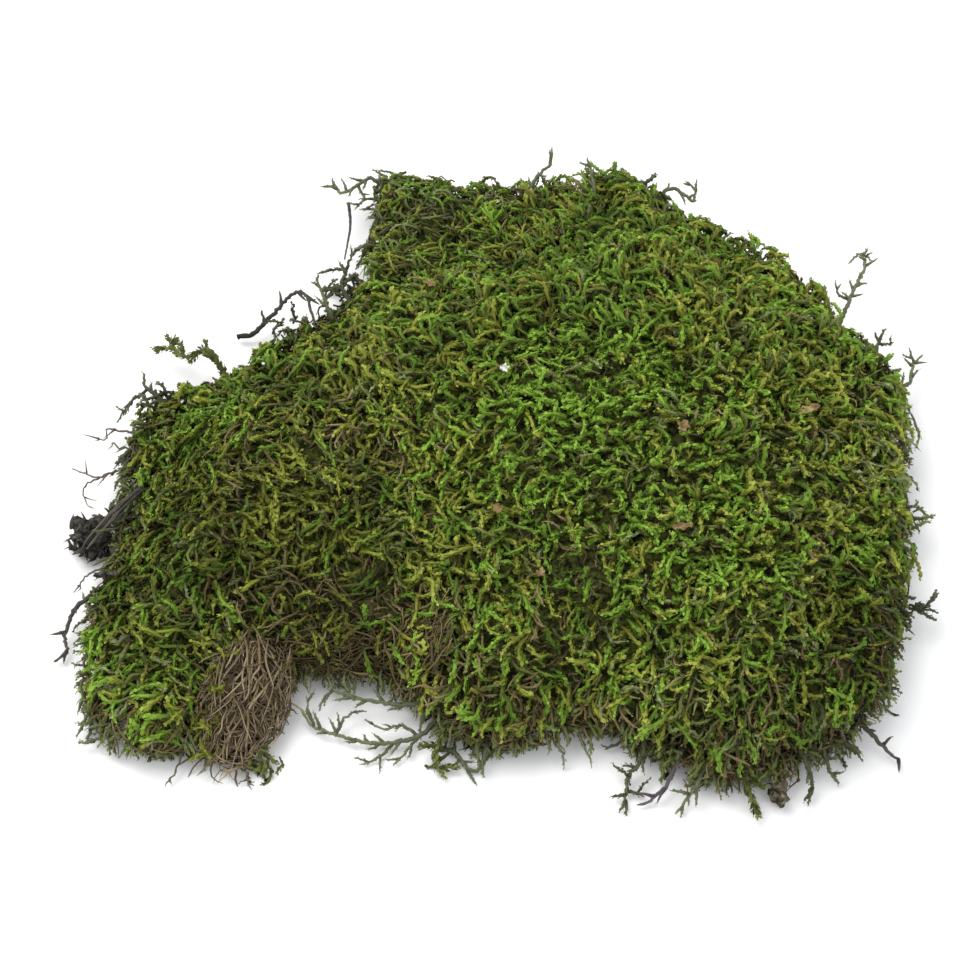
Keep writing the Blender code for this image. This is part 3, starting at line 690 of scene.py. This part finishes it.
def grow_over_furrow(rng):
    """Shoots that lie over the furrow between the mat and the sod behind it."""
    count, steps = 420, 80
    seam = [(-24, 60, 0), (-11, 61, 0), (1, 63.5, 0), (9, 67.5, 0), (16, 73, 0), (25, 84, 0)]
    seam = smooth_route(seam, steps)
    places = seam[rng.integers(0, steps, count)] + rng.normal(0, 1, (count, 3)) * [1.2, 2.0, 0]
    places[:, 2] = 6.5 + 5.2 * rng.random(count) ** 0.7 + 0.05 * np.maximum(places[:, 0], 0)
    heading = np.radians(np.where(places[:, 0] < 2, 178, 140) + rng.normal(0, 34, count))
    paths = shoot_paths(
        places, np.tile(UP, (count, 1)), heading, rng.uniform(4.5, 9, count),
        np.radians(rng.normal(30, 14, count)), np.radians(rng.normal(-22, 24, count)),
        rng.normal(0, 0.9, count), np.zeros(count), np.zeros(count),
        rng.normal(0, 0.45, count), 7,
    )
    # Painted shade: shoots lower in the furrow are drawn darker, higher ones lighter.
    tints = 0.32 + 0.055 * (places[:, 2] - 6.5) + rng.normal(0, 0.12, count)
    kinds = rng.choice(len(KINDS), count, p=[0.28, 0.36, 0.2, 0.1, 0.06])
    return paths, np.clip(tints, 0.05, 0.9), kinds


def make_green(node, title, spacing, rng, size=1.0):
    """The living shoots and the stems just under them, one piece or more for each colour."""
    grown = [  # shoots, leaves on each, sides of each stem
        (grow(node, spacing, rng, TOP_LAYER, size), 15, 4),
        (grow(node, spacing * 1.15, rng, UNDER_LAYER, size), 6, 4),
    ]
    if node == "back_sod":
        grown.append((grow_over_furrow(rng), 15, 4))
    pieces = []
    for kind, look in enumerate(KINDS):
        batches = [
            (paths[kinds == kind], tints[kinds == kind], leaves, sides)
            for (paths, tints, kinds), leaves, sides in grown
        ]
        pieces += split_pieces(f"{title}_{look}", look, batches, rng, size)
    return pieces


def make_core(node, name, inset, material):
    """A body inside a node, an inset under its surface, so that no gap shows through it."""
    points, triangles = node_arrays(node)
    _, normals = facing_and_normals(points, triangles)
    inside = points - normals * inset
    inside[points[:, 2] < 0.1, 2] = 0.4  # the underside stays just off the floor
    mesh = bpy.data.meshes.new(name)
    mesh.from_pydata((inside * MM).tolist(), [], triangles.tolist())
    core = add_object(name, mesh, material)
    finer = core.modifiers.new("finer", "SUBSURF")
    finer.subdivision_type = "SIMPLE"
    finer.levels = finer.render_levels = 1
    return core


# ---------------- dead stems and the ragged rim

SODS = ("moss_mat", "back_sod")


def fibres(strands, places, normals, heading, length, rng, radius, depth, rings=6, tint=0.5,
           pitch=14, sides=4, curl=0.5):
    """Bare thin stems lying along a surface."""
    count = len(places)
    paths = shoot_paths(
        places, normals, heading, length * rng.uniform(0.4, 1.5, count),
        np.radians(rng.normal(pitch, 12, count)), np.radians(rng.normal(-pitch, 14, count)),
        rng.normal(0, curl, count), depth + rng.normal(0, 0.4, count),
        np.zeros(count), rng.normal(0, 0.3, count), rings,
    )
    radii = shoot_radii(rings, radius * rng.uniform(0.5, 1.7, count), tip=0.3)
    tints = np.clip(rng.normal(tint, 0.22, count), 0.04, 0.96)
    add_tubes(strands, paths, radii, sides, tints)


def make_thatch(rng):
    """Dead stems on the torn faces: brown ones in the notch, a tuft above it, and a low band."""
    strands = Strands()
    places, normals = scatter("moss_mat", 1.35, rng, lambda p, n: (
        (p[:, 1] < -36) & (p[:, 0] > -42) & (p[:, 0] < -9) & (p[:, 2] < 12) & (p[:, 2] > 0.6)
    ))
    heading = np.radians(rng.normal(5, 34, len(places)))
    # Painted shadow: stems high in the notch, under the mat's overhang, are drawn darkest.
    tint = 0.03 + 0.16 * np.clip((9 - places[:, 2]) / 6, 0, 1)
    fibres(strands, places, normals, heading, 7, rng, 0.15, 0.0, tint=tint, curl=0.9)
    places, normals = scatter(
        "moss_mat", 1.2, rng, lambda p, n: np.hypot(p[:, 0] + 12, p[:, 1] + 39) < 6
    )
    heading = np.radians(rng.normal(50, 18, len(places)))
    fibres(strands, places, normals, heading, 7, rng, 0.16, 0.3, curl=0.8)
    for node in SODS:
        places, normals = scatter(
            node, 2.1, rng, lambda p, n: (p[:, 2] < 7) & (p[:, 2] > 0.4) & (n[:, 2] < 0.6)
        )
        side = np.arctan2(normals[:, 1], normals[:, 0]) + math.pi / 2
        heading = side + rng.normal(0, 1.0, len(places))
        fibres(strands, places, normals, heading, 5, rng, 0.20, -0.1, pitch=24)
    return strands.piece("rim_thatch", PALETTES["brown"])


def sprouts(node, spacing, reach, highest, rng):
    """Centre lines that start just inside a node's wall, stick out and droop to the floor."""
    places, normals = scatter(
        node, spacing, rng, lambda p, n: (p[:, 2] < highest) & (p[:, 2] > 0.3) & (n[:, 2] < 0.6)
    )
    count = len(places)
    heading = np.arctan2(normals[:, 1], normals[:, 0]) + rng.normal(0, 0.6, count)
    forward = level_ways(heading)
    ragged = 1 + 0.7 * smooth_noise(places[:, 0], places[:, 1], 5, seed=81)
    length = reach * ragged * rng.uniform(0.4, 1.5, count) + 1.5
    droop = -20 - 7 * places[:, 2] + rng.normal(0, 16, count)
    paths = bent_paths(
        np.tile(UP, (count, 1)), forward, length, np.radians(rng.normal(12, 18, count)),
        np.radians(droop), rng.normal(0, 0.9, count), np.zeros(count), rng.normal(0, 0.4, count), 6,
    )
    return paths + (places - forward * 1.4)[:, None]


def make_fringe(rng):
    """Thin stems and leafy tips that stick out along the foot of the clump."""
    pieces = []
    for look, nodes, spacing, reach, radius, leaves, leaf, highest in (
        ("olive", SODS, 2.8, 2.6, 0.32, 9, 1.0, 8),
        ("brown", (*SODS, "thatch_wad"), 2.0, 2.6, 0.18, 0, 0, 7),
        ("dull", SODS, 3.7, 4.2, 0.30, 8, 0.9, 6),
        ("pale", SODS, 3.2, 2.8, 0.34, 9, 1.0, 8),
    ):
        strands = Strands()
        for node in nodes:
            paths = sprouts(node, spacing, reach, highest, rng)
            count, rings, _ = paths.shape
            radii = shoot_radii(rings, radius * rng.uniform(0.6, 1.3, count))
            tints = np.clip(rng.normal(0.42, 0.2, count), 0.04, 0.96)
            add_tubes(strands, paths, radii, 4, tints)
            if leaves:
                size = leaf * rng.uniform(0.8, 1.2, count)
                add_leaves(strands, paths, radii, tints, rng, leaves, size, 0.32, 0.20)
        pieces.append(strands.piece(f"fringe_{look}", PALETTES[look]))
    return pieces


# Small ragged tufts at the rim, by look: x, y, z, heading in degrees, shoots and reach.
TUFTS = {
    "olive": [(55, -61, 5, 285, 34, 6.5), (36, -60, 4, 260, 16, 5), (-45, -60, 3, 275, 16, 5),
        (-4, -54, 4, 265, 22, 6)],
    "brown": [(58, -62, 4, 275, 26, 6), (46, -63, 4, 265, 24, 6)],
    "dark": [(-30, 55, 7, 110, 26, 6.5), (-69, 23, 8, 140, 22, 6), (-75, -5, 7, 180, 26, 5),
        (-73, 8, 7, 170, 22, 5), (69, -57, 4, 300, 14, 6), (-43, 41, 9, 120, 14, 5),
        (86, -28, 8, 350, 14, 5)],
    "dull": [(-22, 83, 8, 130, 16, 5), (36, 78, 11, 60, 12, 5), (-76, -52, 3, 215, 18, 5)],
    "pale": [(85, 30, 8, 30, 16, 5), (87, -6, 8, 10, 14, 4.5)],
}


def make_tufts(rng):
    """Ragged tufts that reach out of the rim, one piece for each colour."""
    pieces = []
    for look, tufts in TUFTS.items():
        leaves, radius = (3, 0.6 * 0.34) if look == "brown" else (10, 0.34)  # brown ones are thin
        strands = Strands()
        for x, y, z, degrees, count, reach in tufts:
            forward = level_ways(np.radians(rng.normal(degrees, 32, count)))
            paths = bent_paths(
                np.tile(UP, (count, 1)), forward, reach * rng.uniform(0.5, 1.2, count),
                np.radians(rng.normal(8, 24, count)), np.radians(rng.normal(-34, 24, count)),
                rng.normal(0, 1.1, count), np.zeros(count), rng.normal(0, 0.5, count), 6,
            )
            roots = [x, y, z] + rng.normal(0, 1, (count, 3)) * [2.0, 2.0, 1.3]
            paths = paths + (roots - 1.5 * forward)[:, None]
            tints = np.clip(rng.normal(0.45, 0.2, count), 0.05, 0.95)
            dress(strands, paths, tints, rng, leaves, 4, radius, 1.0)
        pieces.append(strands.piece(f"tufts_{look}", PALETTES[look]))
    return pieces


WAD_TOP_X = -46.5  # where the wad's fan of stems starts


def make_wad(rng):
    """The torn wad: tan stems fanning down to its front edge over fine felted ones."""
    strands = Strands()
    places, normals = scatter("thatch_wad", 1.0, rng, lambda p, n: p[:, 2] > 0.3)
    heading = np.radians(rng.normal(262, 60, len(places)))
    fibres(strands, places, normals, heading, 3.8, rng, 0.12, -0.1, tint=0.27, curl=1.4)
    places, normals = scatter("thatch_wad", 2.0, rng, lambda p, n: p[:, 2] > 1.5)
    fan = 265 + 2.2 * (places[:, 0] - WAD_TOP_X)
    heading = np.radians(fan + rng.normal(0, 16, len(places)))
    fibres(strands, places, normals, heading, 9, rng, 0.18, 0.3, rings=8, tint=0.66, sides=5,
           pitch=12, curl=0.4)
    return strands.piece("wad_stems", PALETTES["tan"])


def make_wad_moss(rng):
    """Moss that hangs over the back and the left of the wad."""
    paths, tints, _ = grow(
        "thatch_wad", 2.0, rng, dict(TOP_LAYER, depth=0.4), 0.9,
        lambda p, n: (p[:, 2] > 1) & ((p[:, 1] > -43) | (p[:, 0] < -55 + 3 * n[:, 2])),
    )
    strands = Strands()
    dress(strands, paths, tints * 0.8, rng, 16, 4, 0.3, 1.0)
    return strands.piece("wad_moss_yellow", PALETTES["yellow"])


# ---------------- loose fronds and twigs

# How each kind of loose stem looks: palette, stem radius, leaf length, leaves for each
# millimetre, how far the leaves stand off, and side twigs for each millimetre.
LOOKS = {
    "leafy_shoot": ("olive", 0.55, 1.4, 5.0, 0.40, 0.22),
    "dull_frond": ("dull", 0.54, 0.7, 2.2, 0.14, 0.26),
    "dark_frond": ("dark", 0.56, 0.85, 2.6, 0.22, 0.24),
    "purple_twig": ("purple", 0.56, 0.6, 0.7, 0.3, 0.14),
    "purple_stalk": ("purple", 0.40, 0.0, 0.0, 0.0, 0.0),
    "dark_twig": ("twig", 0.60, 0.6, 0.8, 0.4, 0.12),
    "fine_stem": ("fine", 0.30, 0.5, 0.8, 0.4, 0.14),
}
# The loose stems: the look, and the routes, as in the solids, in millimetres.
STRAYS = {
    "notch_frond_low": ("dull_frond", [
        [(-9, -52, 4.5), (-13, -55, 2.5), (-18, -56, 1.5), (-23, -56, 1.5), (-29.5, -54.5, 2),
         (-34, -52.5, 2), (-36.5, -49.5, 2.5)],
        [(-29.5, -54.5, 2), (-28, -51.5, 3), (-25.5, -49.5, 3)],
        [(-34, -52.5, 2), (-35, -49.5, 3), (-35.5, -47, 3.5)],
        [(-13, -55, 2.5), (-16.5, -53, 3), (-20, -53.5, 2.5), (-22.5, -52, 2.5)],
        [(-18, -56, 1.5), (-21, -59, 1), (-24.5, -60.5, 1)],
        [(-13, -55, 2.5), (-16, -58.5, 1.2), (-18, -61, 1)],
    ]),
    "notch_frond_high": ("dull_frond", [
        [(-10, -49, 6), (-16, -49.5, 5), (-21, -48.5, 4.5), (-26, -47.5, 4.5), (-30, -45.5, 4.5),
         (-31.5, -42, 5)],
        [(-30, -45.5, 4.5), (-32, -47.5, 3.5), (-33, -49.5, 2.5)],
    ]),
    "front_shoot": ("leafy_shoot", [[(-7, -51, 7), (-9, -57, 4), (-9.5, -60.5, 2), (-8, -63.5, 1)]]),
    "front_loop": ("dull_frond", [
        [(-9, -57, 1), (-7, -57.5, 1.5), (-5, -59.5, 1.5), (-3.5, -61.5, 1), (-1.5, -62, 1),
         (0, -60.5, 2), (0.5, -57.5, 4)],
        [(-5, -59.5, 1.5), (-6, -61, 1)],
    ]),
    "corner_frond": ("dark_frond", [
        [(31.5, -54.5, 7), (30.5, -61, 4), (28, -64, 2.5), (27.5, -66.5, 1.5), (27, -69, 1.2),
         (26, -71, 1)],
        [(28, -64, 2.5), (26.5, -62.5, 3)],
        [(27.5, -66.5, 1.5), (31, -67.5, 1)],
    ]),
    "corner_twig": ("purple_twig", [
        [(38.5, -60, 6), (36, -65.5, 4), (34, -67.5, 2.5), (31.5, -69, 1.3), (29.5, -69.5, 1)],
    ]),
    "corner_shoot": ("dull_frond", [[(43, -63, 6), (41, -67, 4), (39, -69, 2), (37, -71.5, 1)]]),
    "fringe_shoot": ("leafy_shoot", [[(50, -63, 6), (51.5, -68.5, 3), (53, -71.5, 1)]]),
    "hanging_shoot_left": ("dark_frond", [
        [(60, -58, 8), (63, -64.5, 5), (63.5, -66.5, 2.5), (62, -69, 1)],
    ]),
    "hanging_shoot_right": ("dark_frond", [[(65, -56, 7), (67, -63, 4), (69, -65, 1)]]),
    "corner_spur": ("dark_twig", [
        [(72.5, -52.5, 6.5), (78, -57.5, 3), (81.5, -60, 1)],
        [(78, -57.5, 3), (80, -56, 4)],
    ]),
    "right_frond": ("dull_frond", [
        [(76, 41, 8), (80, 51, 8), (82, 56, 7.5), (84.5, 61.5, 6.5), (84, 66, 6), (81, 62.5, 7)],
        [(80, 51, 8), (77.5, 53, 8), (78.5, 55, 9)],
        [(84, 66, 6), (87, 65, 5)],
    ]),
    "right_tuft": ("dull_frond", [
        [(86, 26, 8), (91, 29, 6.5), (92, 32.5, 6), (93, 35, 6), (95, 37.5, 6)],
        [(93, 35, 6), (92, 38.5, 7)],
    ]),
    "right_twiglet": ("dark_frond", [
        [(83, 32, 8), (85, 38, 9), (84.5, 40.5, 10)],
        [(85, 38, 9), (88.5, 38, 9)],
    ]),
    "hooked_tuft": ("dull_frond", [
        [(37, 77, 10), (41.5, 81, 11), (44.5, 79.5, 11), (47, 78, 10), (47, 80, 12),
         (45, 81, 13.5)],
    ]),
    "top_spike_left": ("dull_frond", [[(9, 79, 10), (12, 84.5, 11.5), (15, 86, 14), (14.5, 87, 17)]]),
    "top_spike_right": ("dull_frond", [[(25, 77, 11), (24, 83, 14), (23, 85, 17)]]),
    "back_left_frond": ("dull_frond", [
        [(-21, 82, 8), (-26, 86, 9), (-29, 84.5, 8), (-31, 84, 7), (-33, 85, 5), (-34.5, 88, 4),
         (-37, 88.5, 3)],
        [(-29, 84.5, 8), (-27.5, 81, 8), (-29.5, 79, 6)],
    ]),
    "dark_stalk": ("purple_stalk", [
        [(-31, 82, 5), (-30.5, 76, 4.5), (-31, 70, 4.5), (-31.5, 65.5, 4.5)],
    ]),
    "back_left_tuft": ("dark_frond", [
        [(-28, 47, 9), (-31.5, 55, 8), (-31, 60.5, 6.5), (-33.5, 62, 5.5), (-37.5, 62, 4)],
        [(-31, 60.5, 6.5), (-30, 64, 6.5), (-29, 66.5, 7.5)],
        [(-31.5, 55, 8), (-36, 53.5, 5)],
    ]),
    "back_twig": ("dark_twig", [
        [(-54.5, 45.5, 2), (-51, 46, 2.5), (-48.5, 48, 4), (-43, 53, 7), (-41, 53.5, 8),
         (-39, 51, 9), (-37, 43, 9)],
        [(-48.5, 48, 4), (-49.5, 51, 5)],
    ]),
    "back_shoot": ("dull_frond", [
        [(-33, 44, 10), (-35.5, 50, 12), (-36.5, 52, 13.5), (-36, 52.5, 15)],
    ]),
    "left_leafy_shoot": ("leafy_shoot", [
        [(-55, 28, 9), (-58.5, 34.5, 9.5), (-61, 36.5, 8.5), (-65, 36, 7), (-68.5, 39, 6),
         (-72.5, 40, 5)],
        [(-68.5, 39, 6), (-67, 41.5, 7)],
    ]),
    "left_tuft": ("dark_frond", [
        [(-67, 22, 8), (-72, 25.5, 9.5), (-73, 28.5, 11.5)],
        [(-72, 25.5, 9.5), (-76, 23.5, 7), (-78.5, 20.5, 4.5)],
    ]),
    "left_squiggle": ("fine_stem", [
        [(-73, 17, 4.5), (-79, 19.5, 3), (-81, 19.5, 3), (-81, 17.5, 2.5), (-83.5, 17.5, 2)],
    ]),
    "left_fine_stem": ("fine_stem", [
        [(-74, 7.5, 6), (-79, 6, 6), (-81, 5.5, 5), (-84, 7, 4), (-87.5, 9.5, 3)],
        [(-81, 5.5, 5), (-84.5, 4, 3.5), (-83.5, 0.5, 3), (-82, -1, 3)],
    ]),
    "left_hook": ("fine_stem", [
        [(-71, 11.5, 7), (-77.5, 12, 7), (-78.5, 13.5, 6.5), (-79.5, 12.5, 5.5)],
    ]),
    "left_hair": ("fine_stem", [
        [(-75, -15.5, 5), (-80.5, -17.5, 4), (-82.5, -18.5, 3), (-83.5, -21, 2)],
    ]),
    "left_dark_stem": ("dark_twig", [
        [(-77, -22, 6), (-83, -26, 4), (-85, -31.5, 2.5), (-84.5, -35, 2), (-87, -37.5, 1.2)],
        [(-84.5, -35, 2), (-85, -37.5, 1)],
    ]),
    "front_left_tip": ("fine_stem", [[(-59, -58, 4), (-60.5, -62.5, 2), (-62.5, -65.5, 1)]]),
    "wad_tip": ("fine_stem", [
        [(-47, -59, 3), (-46.5, -64, 1.3), (-45.5, -66, 1)],
        [(-46.5, -64, 1.3), (-48.5, -65, 1)],
    ]),
}


def add_stem(strands, path, look, radius, rng):
    """One tapering stem with its leaves; path is (R, 3)."""
    _, _, leaf, leaf_rate, spread, _ = LOOKS[look]
    rings = len(path)
    taper = np.linspace(1, 0.45, rings) * (1 + 0.12 * np.sin(np.arange(rings) * 2.4 + rings))
    taper[-1] = 0.15
    radii = (radius * taper)[None, :]
    tint = np.array([rng.uniform(0.4, 0.6)])
    add_tubes(strands, path[None], radii, 7, tint, first_v=0.02, last_v=0.98)
    length = np.linalg.norm(np.diff(path, axis=0), axis=1).sum()
    leaves = int(leaf_rate * length)
    if leaves:
        size = np.array([leaf])
        add_leaves(strands, path[None], radii, tint, rng, leaves, size, 0.30, spread,
                   first=0.08, tint_jitter=0.38)


def make_stray(name, look, routes, rng):
    """A loose frond or twig along the routes, with short side twigs."""
    palette, radius, _, _, _, twig_rate = LOOKS[look]
    strands = Strands()
    for number, route in enumerate(routes):
        length = sum(math.dist(a, b) for a, b in zip(route, route[1:]))
        rings = max(6, int(length * 1.6))
        path = smooth_route(route, rings)
        wander = rng.normal(0, 0.02 if look == "purple_stalk" else 0.12, (rings, 3))
        wander[0] = 0
        path = path + wander
        here = radius * (1 if number == 0 else 0.7)
        add_stem(strands, path, look, here, rng)
        for twig in range(int(twig_rate * length + 0.5)):
            ring = int(rings * (0.25 + 0.65 * (twig + rng.random()) / max(1, twig_rate * length)))
            ring = min(ring, rings - 2)
            along = path[ring + 1] - path[ring]
            angle = math.atan2(along[1], along[0]) + math.radians(42) * (-1) ** twig
            reach = rng.uniform(1.5, 4.2)
            tip = path[ring] + [reach * math.cos(angle), reach * math.sin(angle), 0.3]
            middle = (path[ring] + tip) / 2 + rng.normal(0, 0.15, 3)
            add_stem(strands, smooth_route([path[ring], middle, tip], 5), look, here * 0.72, rng)
    return strands.piece(name + "_leafy", PALETTES[palette])


# ---------------- bark, soil and litter


def rough_copy(node, name, cuts, height, size, material, shrink=0.10):
    """A CAD node's shape, cut finer and roughened by noise of a height and size in millimetres."""
    points, triangles = node_arrays(node)
    mesh = bpy.data.meshes.new(name)
    shape = bmesh.new()
    corners = [shape.verts.new(point * MM) for point in points]
    for triangle in triangles:
        shape.faces.new([corners[index] for index in triangle])
    bmesh.ops.subdivide_edges(shape, edges=shape.edges, cuts=cuts, use_grid_fill=True, smooth=0.4)
    bmesh.ops.recalc_face_normals(shape, faces=shape.faces)
    shape.normal_update()
    middle = points.mean(axis=0) * MM
    for vertex in shape.verts:
        place = vertex.co / (size * MM)
        lift = noise.fractal(place, 1.0, 2.1, 4) * height * MM
        vertex.co = vertex.co + vertex.normal * lift - (vertex.co - Vector(middle)) * shrink
        vertex.co.z = max(vertex.co.z, FLOOR_CLEARANCE * MM)
    shape.to_mesh(mesh)
    shape.free()
    return add_object(name, mesh, material)


def curled_leaf(name, middle, turn, length, width, curl):
    """A dry bit of leaf: a torn, pointed outline, curled along its length; lengths in mm."""
    along, across = 13, 7
    mesh = bpy.data.meshes.new(name)
    points, faces = [], []
    for row in range(along):
        part = row / (along - 1) * 2 - 1
        torn = 1 + 0.35 * math.sin(7 * part + 11 * turn) + 0.15 * math.sin(17 * part + turn)
        half = width / 2 * (1 - abs(part) ** 2.2) ** 0.8 * torn + 0.05
        for column in range(across):
            side = column / (across - 1) * 2 - 1
            x, y = part * length / 2, side * half
            z = curl * (side**2 * 0.5 + part**2 * 0.35) + 0.18 * math.sin(part * 7 + side * 3)
            points.append((
                x * math.cos(turn) - y * math.sin(turn) + middle[0],
                x * math.sin(turn) + y * math.cos(turn) + middle[1],
                z + middle[2],
            ))
    for row in range(along - 1):
        for column in range(across - 1):
            corner = row * across + column
            faces.append((corner, corner + across, corner + across + 1, corner + 1))
    mesh.from_pydata([[value * MM for value in point] for point in points], [], faces)
    leaf = add_object(name, mesh, DRY_LEAF)
    thick = leaf.modifiers.new("thickness", "SOLIDIFY")
    thick.thickness = 0.12 * MM
    return leaf


def make_bark_strip(rng):
    """A strip of inner bark: a frayed bundle of dark fibres along a nearly straight line."""
    strands = Strands()
    route = smooth_route([(-71, -1.5, 11), (-76.5, -6.5, 9), (-82, -12.5, 6.3)], 10)
    for _ in range(22):
        spread = rng.normal(0, 0.45, 3) * [1, 1, 0.6]
        fray = np.linspace(0.7, 1.6, 10)[:, None]
        path = route + spread * fray + rng.normal(0, 0.1, (10, 3))
        path = path[: rng.integers(6, 11)]
        radii = np.full((1, len(path)), rng.uniform(0.18, 0.40))
        radii[0, -1] *= 0.3
        add_tubes(strands, path[None], radii, 5, np.array([rng.uniform(0.05, 0.95)]))
    return strands.piece("bark_strip_fibres", PALETTES["twig"])


def make_flake_splinters(rng):
    """Charred splinters that stick out of the bark flake."""
    low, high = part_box("bark_flake")
    low, high = np.array(low) / MM, np.array(high) / MM
    strands = Strands()
    for _ in range(70):
        start = low + (high - low) * rng.uniform(0.12, 0.88, 3)
        way = unit(rng.normal(0, 1, 3) * [1, 1, 0.7])
        route = np.array([start, start + 1.6 * way, start + rng.uniform(2.2, 4) * way])
        route[1:] += rng.normal(0, 0.4, (2, 3))
        route = np.clip(route, low - 0.5, high + 0.5)
        radii = np.array([[0.9, 0.8, 0.6, 0.35, 0.1]]) * rng.uniform(0.35, 1.0)
        tint = np.array([rng.uniform(0.05, 0.6)])
        add_tubes(strands, smooth_route(route, 5)[None], radii, 5, tint, flat=0.45)
    return strands.piece("bark_flake_splinters", PALETTES["twig"])


def node_middle(name):
    """The middle of a CAD node's box, in millimetres."""
    low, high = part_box(name)
    return [(a + b) / 2 / MM for a, b in zip(low, high)]


# ---------------- putting the clump together


def tie(piece, slot, *nodes):
    """Ties a piece to the clump and hides the CAD nodes that it stands for; the slot is not used."""
    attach(piece, "root")
    if nodes:
        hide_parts(*nodes)


SLOT_OF_LOOK = {
    "fresh": "green_moss", "yellow": "green_moss", "olive": "olive_moss", "brown": "dead_thatch",
    "pale": "olive_moss", "dull": "dull_frond", "dark": "dark_frond",
}
green = make_green("moss_mat", "mat_shoots", 2.02, np.random.default_rng(11))
sod = make_green("back_sod", "sod_shoots", 1.7, np.random.default_rng(12), 0.8)
for piece in green + sod:
    look = piece.name.rsplit("_", 2)[1]
    tie(piece, SLOT_OF_LOOK[look])
tie(make_core("moss_mat", "mat_core", 4.0, CORE), "dead_thatch", "moss_mat")
tie(make_core("back_sod", "sod_core", 3.5, CORE), "dead_thatch", "back_sod")
tie(make_core("thatch_wad", "wad_core", 1.0, FELT), "dead_thatch", "thatch_wad")
tie(make_thatch(np.random.default_rng(13)), "dead_thatch")
tie(make_wad(np.random.default_rng(14)), "dead_thatch")
tie(make_wad_moss(np.random.default_rng(17)), "green_moss")
for piece in make_fringe(np.random.default_rng(15)) + make_tufts(np.random.default_rng(19)):
    tie(piece, SLOT_OF_LOOK[piece.name.split("_")[1]])
for number, (name, (look, routes)) in enumerate(STRAYS.items()):
    stray = make_stray(name, look, routes, np.random.default_rng(100 + number))
    tie(stray, "green_shoot" if look == "leafy_shoot" else look, name)
tie(rough_copy("bark_flake", "bark_flake_rough", 5, 2.2, 2.0, BARK, 0.3), "bark", "bark_flake")
tie(make_flake_splinters(np.random.default_rng(18)), "bark")
tie(make_bark_strip(np.random.default_rng(16)), "grey_bark", "bark_strip")
tie(rough_copy("dark_stick", "dark_stick_rough", 4, 0.3, 0.8, BARK), "dark_twig", "dark_stick")
tie(rough_copy("soil_crumb", "soil_crumb_rough", 3, 1.1, 1.5, SOIL), "soil_crumb", "soil_crumb")
tie(rough_copy("white_fleck", "white_fleck_rough", 4, 0.7, 1.1, PALE_CRUMB), "white_crumb",
    "white_fleck")
for node, turn, length, width, curl in (
    ("leaf_bit_right", 0.35, 5.2, 1.5, 0.8), ("leaf_bit_middle", 1.2, 2.8, 2.0, 0.7),
    ("leaf_bit_back", -0.6, 3.2, 1.3, 0.9), ("leaf_bit_front", 0.1, 4.2, 1.3, 0.6),
    ("leaf_crumb_left", 1.9, 2.2, 1.6, 0.6), ("leaf_crumb_front", 0.8, 1.9, 1.4, 0.5),
):
    leaf = curled_leaf(node + "_curled", node_middle(node), turn, length, width, curl)
    tie(leaf, "dry_leaf", node)


# ---------------- floor, light and camera


def make_stage():
    """A plain pale floor."""
    bpy.ops.mesh.primitive_plane_add(size=6)
    floor = bpy.context.object
    floor.name = "floor"
    material = bpy.data.materials.new("pale_floor")
    material.use_nodes = True
    shader = material.node_tree.nodes["Principled BSDF"]
    shader.inputs["Base Color"].default_value = (0.9, 0.9, 0.9, 1)
    shader.inputs["Roughness"].default_value = 0.9
    floor.data.materials.append(material)


def make_light():
    """A pale sky with a soft key light behind the clump's left and a weak fill at the front."""
    world = bpy.context.scene.world or bpy.data.worlds.new("studio")
    bpy.context.scene.world = world
    world.use_nodes = True
    background = world.node_tree.nodes["Background"]
    background.inputs["Color"].default_value = (0.97, 0.98, 1.0, 1)
    background.inputs["Strength"].default_value = 1.02
    for name, place, size, power, color in (
        ("key", (-0.45, 0.35, 0.95), 0.8, 8.8, (1.0, 0.98, 0.94)),
        ("fill", (0.7, -0.7, 0.8), 1.0, 2.4, (0.95, 0.97, 1.0)),
    ):
        light = bpy.data.lights.new(name, "AREA")
        light.size = size
        light.energy = power
        light.color = color
        lamp = bpy.data.objects.new(name, light)
        lamp.location = place
        lamp.rotation_euler = (-Vector(place)).to_track_quat("-Z", "Y").to_euler()
        bpy.context.scene.collection.objects.link(lamp)


CAMERA_ELEVATION = 55  # degrees
CAMERA_DISTANCE = 0.52
CAMERA_LENS = 93
CAMERA_TARGET = Vector((0, 0, 0.010))


def make_camera():
    """A camera in front of the clump that looks down at it."""
    data = bpy.data.cameras.new("photo_camera")
    data.lens = CAMERA_LENS
    data.clip_start = 0.01
    camera = bpy.data.objects.new("photo_camera", data)
    rise = math.radians(CAMERA_ELEVATION)
    back = Vector((0, -math.cos(rise), math.sin(rise)))
    camera.location = CAMERA_TARGET + back * CAMERA_DISTANCE
    camera.rotation_euler = (-back).to_track_quat("-Z", "Y").to_euler()
    bpy.context.scene.collection.objects.link(camera)
    bpy.context.scene.camera = camera


make_stage()
make_light()
make_camera()
bpy.context.scene.view_settings.view_transform = "Standard"
